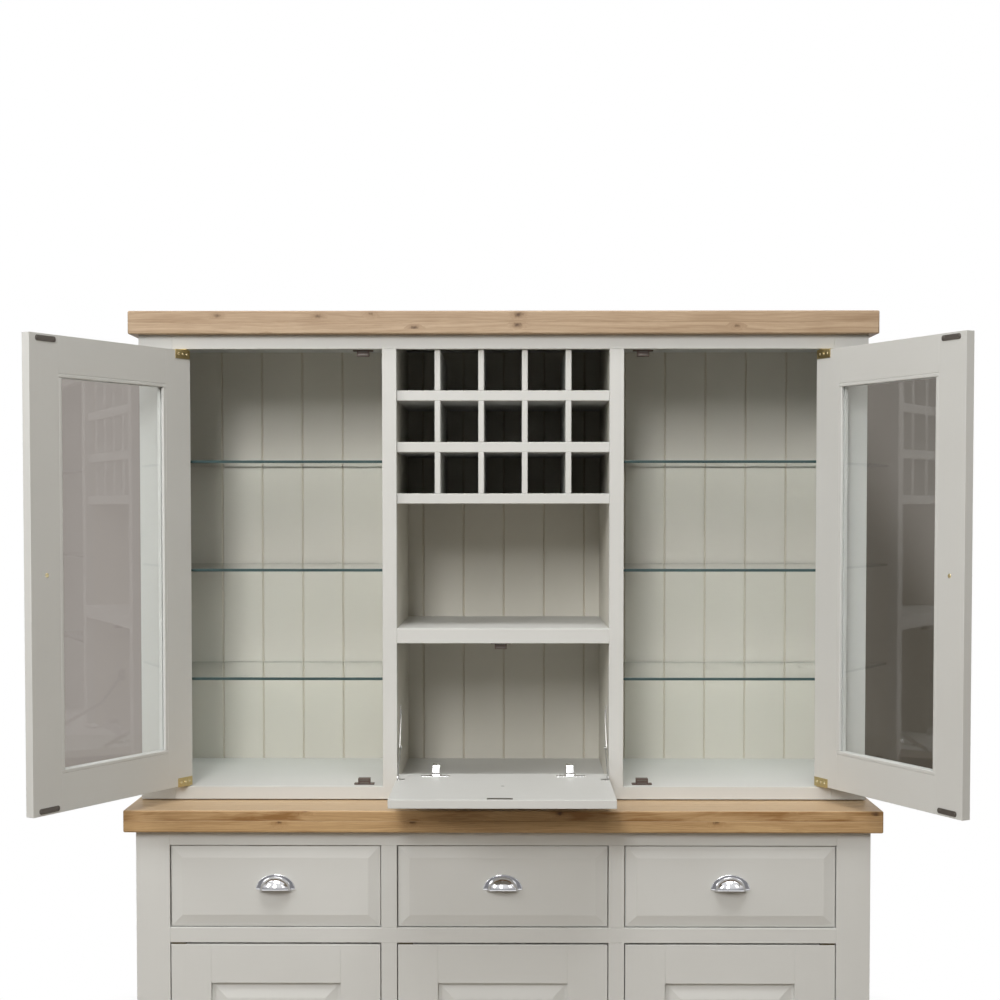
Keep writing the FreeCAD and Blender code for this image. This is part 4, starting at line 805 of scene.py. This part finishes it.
def cup_pull(width, height, depth):
    """A pull that faces -Y, with its back at y 0 and its flange's foot at z 0. The lip rises to the front."""
    bpy.ops.object.select_all(action="DESELECT")
    bpy.ops.mesh.primitive_uv_sphere_add(segments=72, ring_count=36, radius=1)
    cup = bpy.context.object
    bpy.ops.object.mode_set(mode="EDIT")
    cut_away((0, PULL_RAKE, 1), 1)
    cut_away((0, 1, 0), -1)
    bpy.ops.transform.resize(value=(width / 2 - PULL_EAR, depth, height - PULL_BROW), center_override=(0, 0, 0))
    bpy.ops.mesh.select_mode(type="EDGE")
    bpy.ops.mesh.select_all(action="DESELECT")
    shell = bmesh.from_edit_mesh(cup.data)
    for edge in shell.edges:
        edge.select_set(edge.is_boundary and any(end.co.y < -1e-6 for end in edge.verts))
    bmesh.update_edit_mesh(cup.data)
    bpy.ops.mesh.extrude_region_move(TRANSFORM_OT_translate={"value": (0, 0, -PULL_LIP)})
    bpy.ops.object.mode_set(mode="OBJECT")
    wall = cup.modifiers.new("wall", "SOLIDIFY")
    wall.thickness = PULL_WALL
    wall.offset = -1
    bpy.ops.object.modifier_apply(modifier=wall.name)
    bpy.ops.object.mode_set(mode="EDIT")
    rise = PULL_RAKE * (height - PULL_BROW) / depth
    select_arrises(cup.data, lambda edge: all(end.co.z + PULL_LIP < -rise * end.co.y + 0.0012 for end in edge.verts)
                   and all(end.co.y < -0.0004 for end in edge.verts))
    bpy.ops.mesh.bevel(offset=LIP_ARRIS, segments=2, affect="EDGES")
    bpy.ops.object.mode_set(mode="OBJECT")
    bpy.ops.object.shade_smooth_by_angle(angle=radians(40))

    bpy.ops.object.select_all(action="DESELECT")
    bpy.ops.mesh.primitive_circle_add(vertices=120, radius=1, fill_type="NGON", rotation=(pi / 2, 0, 0))
    flange = bpy.context.object
    bpy.ops.object.transform_apply(rotation=True)
    bpy.ops.object.mode_set(mode="EDIT")
    cut_away((0, 0, 1), 1)
    bpy.ops.transform.resize(value=(width / 2, 1, height), center_override=(0, 0, 0))
    bpy.ops.mesh.extrude_region_move(TRANSFORM_OT_translate={"value": (0, -PULL_FLANGE, 0)})
    bpy.ops.mesh.select_all(action="SELECT")
    bpy.ops.mesh.normals_make_consistent(inside=False)
    select_arrises(flange.data, lambda edge: abs(edge.verts[0].co.y - edge.verts[1].co.y) > PULL_FLANGE / 2)
    bpy.ops.mesh.bevel(offset=EAR_CORNER, segments=5, affect="EDGES")
    select_arrises(flange.data, lambda edge: all(end.co.y < -PULL_FLANGE + 1e-6 for end in edge.verts))
    bpy.ops.mesh.bevel(offset=FLANGE_ARRIS, segments=3, affect="EDGES")
    bpy.ops.object.mode_set(mode="OBJECT")
    bpy.ops.object.shade_smooth_by_angle(angle=radians(40))
    pull = joined("cup_pull", [cup, flange])
    shape = pull.data
    bpy.data.objects.remove(pull)
    return shape


for bay in ("left", "middle", "right"):
    node = f"{bay}_drawer_pull"
    low, high = (Vector(corner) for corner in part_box(node))
    shape = cup_pull(high.x - low.x, high.z - low.z - PULL_LIP, high.y - low.y)
    shape.transform(Matrix.Translation(((low.x + high.x) / 2, high.y, low.z + PULL_LIP / 4)))
    pull = bpy.data.objects.new(f"{bay}_cup_pull", shape)
    bpy.context.collection.objects.link(pull)
    stand_in(pull, node, polished_chrome)

# Studio: a pale floor that runs out into a white surround, with soft lamps above the front, at the sides and behind.
# The left lamp is the stronger of the two at the sides, and the back one only lights what the others can't reach.
# A grey wall stands behind the dresser, darker to the right, and shows only through the glass.
WHITE = (1, 1, 1, 1)
FLOOR_SIZE = 14
FLOOR_PALE = (0.80, 0.80, 0.79, 1)
FLOOR_GIVES_BACK = (0.26, 0.215, 0.165, 1)
FLOOR_FADES = (1.1, 1.85)
FLOOR_DIMS = (3.0, 4.5)
FLOOR_SIDES = (-0.8, 0.8)
DIM_FLOOR_LEFT = (0.32, 0.288, 0.265, 1)
DIM_FLOOR_RIGHT = (0.085, 0.074, 0.060, 1)


def reckon(tree, operation, first, second):
    """The result of one step of arithmetic on two values."""
    return wire(tree, "Math", {0: first, 1: second}, operation=operation).outputs[0]


def blend(tree, share, first, second):
    """A colour that runs from the first to the second as the share goes from 0 to 1."""
    return wire(tree, "Mix", {0: share, 6: first, 7: second}, data_type="RGBA").outputs[2]


def ramp(tree, value, span, **settings):
    """A share that goes from 0 to 1 while a value crosses a span."""
    return wire(tree, "MapRange", {"Value": value, "From Min": span[0], "From Max": span[1]}, **settings).outputs[0]


bpy.ops.object.select_all(action="DESELECT")
bpy.ops.mesh.primitive_plane_add(size=FLOOR_SIZE, location=(0, 0, 0))
floor = bpy.context.object
floor.name = "studio_floor"
floor_paint, floor_tree, floor_surface = new_finish("pale_floor")
floor_surface.inputs["Roughness"].default_value = 0.7
floor_place = wire(floor_tree, "TexCoord", {}).outputs["Object"]
floor_way = wire(floor_tree, "SeparateXYZ", {0: floor_place}).outputs
floor_reach = wire(floor_tree, "VectorMath", {0: floor_place}, operation="LENGTH").outputs["Value"]
floor_fade = ramp(floor_tree, floor_reach, FLOOR_FADES, interpolation_type="SMOOTHSTEP")
floor_rays = wire(floor_tree, "LightPath", {}).outputs
floor_shade = blend(floor_tree, floor_rays["Is Diffuse Ray"], FLOOR_PALE, FLOOR_GIVES_BACK)
floor_tree.links.new(floor_shade, floor_surface.inputs["Base Color"])
floor_bounced = reckon(floor_tree, "GREATER_THAN", floor_rays["Diffuse Depth"], 0.5)
floor_through = reckon(floor_tree, "GREATER_THAN", floor_rays["Is Transmission Ray"], floor_bounced)
floor_seen = reckon(floor_tree, "MAXIMUM", floor_rays["Is Camera Ray"], floor_rays["Is Glossy Ray"])
floor_seen = reckon(floor_tree, "MAXIMUM", floor_seen, floor_through)
floor_white = reckon(floor_tree, "MULTIPLY", floor_seen, floor_fade)
floor_glow = wire(floor_tree, "Emission", {"Color": WHITE, "Strength": 1.0}).outputs[0]
floor_both = wire(floor_tree, "MixShader", {0: floor_white, 1: floor_surface.outputs[0], 2: floor_glow}).outputs[0]
floor_behind = ramp(floor_tree, floor_way["Y"], FLOOR_DIMS)
floor_behind = wire(floor_tree, "Mix", {0: floor_bounced, 2: floor_behind, 3: floor_fade}).outputs[0]
floor_far = reckon(floor_tree, "MULTIPLY", floor_rays["Is Transmission Ray"], floor_behind)
floor_side = ramp(floor_tree, floor_way["X"], FLOOR_SIDES)
floor_dim = blend(floor_tree, floor_side, DIM_FLOOR_LEFT, DIM_FLOOR_RIGHT)
floor_wall = wire(floor_tree, "Emission", {"Color": floor_dim, "Strength": 1.0}).outputs[0]
floor_both = wire(floor_tree, "MixShader", {0: floor_far, 1: floor_both, 2: floor_wall}).outputs[0]
floor_tree.links.new(floor_both, floor_tree.nodes["Material Output"].inputs["Surface"])
floor.data.materials.append(floor_paint)


def soft_lamp(name, place, target, size, power):
    """A broad rectangular lamp that faces a target."""
    lamp = bpy.data.lights.new(name, "AREA")
    lamp.shape = "RECTANGLE"
    lamp.size, lamp.size_y = size
    lamp.energy = power
    holder = bpy.data.objects.new(name, lamp)
    holder.location = place
    holder.rotation_euler = (Vector(target) - Vector(place)).to_track_quat("-Z", "Y").to_euler()
    holder.visible_camera = holder.visible_transmission = False
    bpy.context.collection.objects.link(holder)


soft_lamp("lamp_front", place=(-1.0, -6.0, 4.15), target=(0, -0.1, 1.0), size=(1.3, 2.3), power=188)
soft_lamp("lamp_above", place=(0, -2.4, 6.2), target=(0, -0.35, 0.8), size=(3.0, 2.0), power=165)
soft_lamp("lamp_left", place=(-3.2, -2.4, 3.0), target=(0.3, 0, 1.1), size=(1.4, 1.8), power=52)
soft_lamp("lamp_right", place=(3.0, -2.8, 3.0), target=(-0.3, 0, 1.1), size=(1.4, 1.8), power=10)
soft_lamp("lamp_back", place=(0, 5.6, 2.6), target=(0, 0.2, 1.0), size=(2.0, 2.2), power=90)

AMBIENT = (0.080, 0.062, 0.032, 1)
HORIZON = (0.24, 0.24, 0.25, 1)
WALL_LEFT = (0.34, 0.305, 0.285, 1)
WALL_RIGHT = (0.078, 0.068, 0.055, 1)
WALL_FAR_RIGHT = (0.188, 0.170, 0.152, 1)
WALL_SLANT = 1.85
world = bpy.data.worlds.new("studio")
bpy.context.scene.world = world
world.use_nodes = True
sky = world.node_tree
rays = wire(sky, "LightPath", {}).outputs
toward = wire(sky, "SeparateXYZ", {0: wire(sky, "TexCoord", {}).outputs["Generated"]}).outputs
overhead = ramp(sky, toward["Z"], (-0.1, 0.5), interpolation_type="SMOOTHSTEP")
mirrored = blend(sky, overhead, HORIZON, WHITE)
sideways = ramp(sky, toward["X"], (-0.25, 0.25))
slant = wire(sky, "Math", {0: toward["X"], 1: WALL_SLANT, 2: toward["Z"]}, operation="MULTIPLY_ADD").outputs[0]
slant = ramp(sky, slant, (0.385, 0.480), interpolation_type="SMOOTHSTEP")
wall = blend(sky, sideways, WALL_LEFT, blend(sky, slant, WALL_RIGHT, WALL_FAR_RIGHT))
behind = ramp(sky, toward["Y"], (0.2, 0.6))
bounced = reckon(sky, "GREATER_THAN", rays["Diffuse Depth"], 0.5)
wall = blend(sky, reckon(sky, "MAXIMUM", behind, bounced), WHITE, wall)
shade = blend(sky, rays["Is Camera Ray"], AMBIENT, WHITE)
shade = blend(sky, rays["Is Glossy Ray"], shade, mirrored)
shade = blend(sky, rays["Is Transmission Ray"], shade, wall)
sky.links.new(shade, sky.nodes["Background"].inputs["Color"])

# Camera: in front of the dresser at standing eye height, where the photograph was taken from.
# It looks a little down and to the left, with its lens shifted up.
LOOKS_DOWN = 0.0323
LOOKS_LEFT = 0.0067
camera_data = bpy.data.cameras.new("camera")
camera_data.sensor_width = 36
camera_data.lens = 56.38
camera_data.shift_y = 0.0583
camera = bpy.data.objects.new("camera", camera_data)
camera.location = (0.0163, -3.5441, 1.5372)
camera.rotation_euler = (pi / 2 - LOOKS_DOWN, 0, LOOKS_LEFT)
bpy.context.collection.objects.link(camera)
bpy.context.scene.camera = camera
bpy.context.scene.view_settings.view_transform = "Standard"
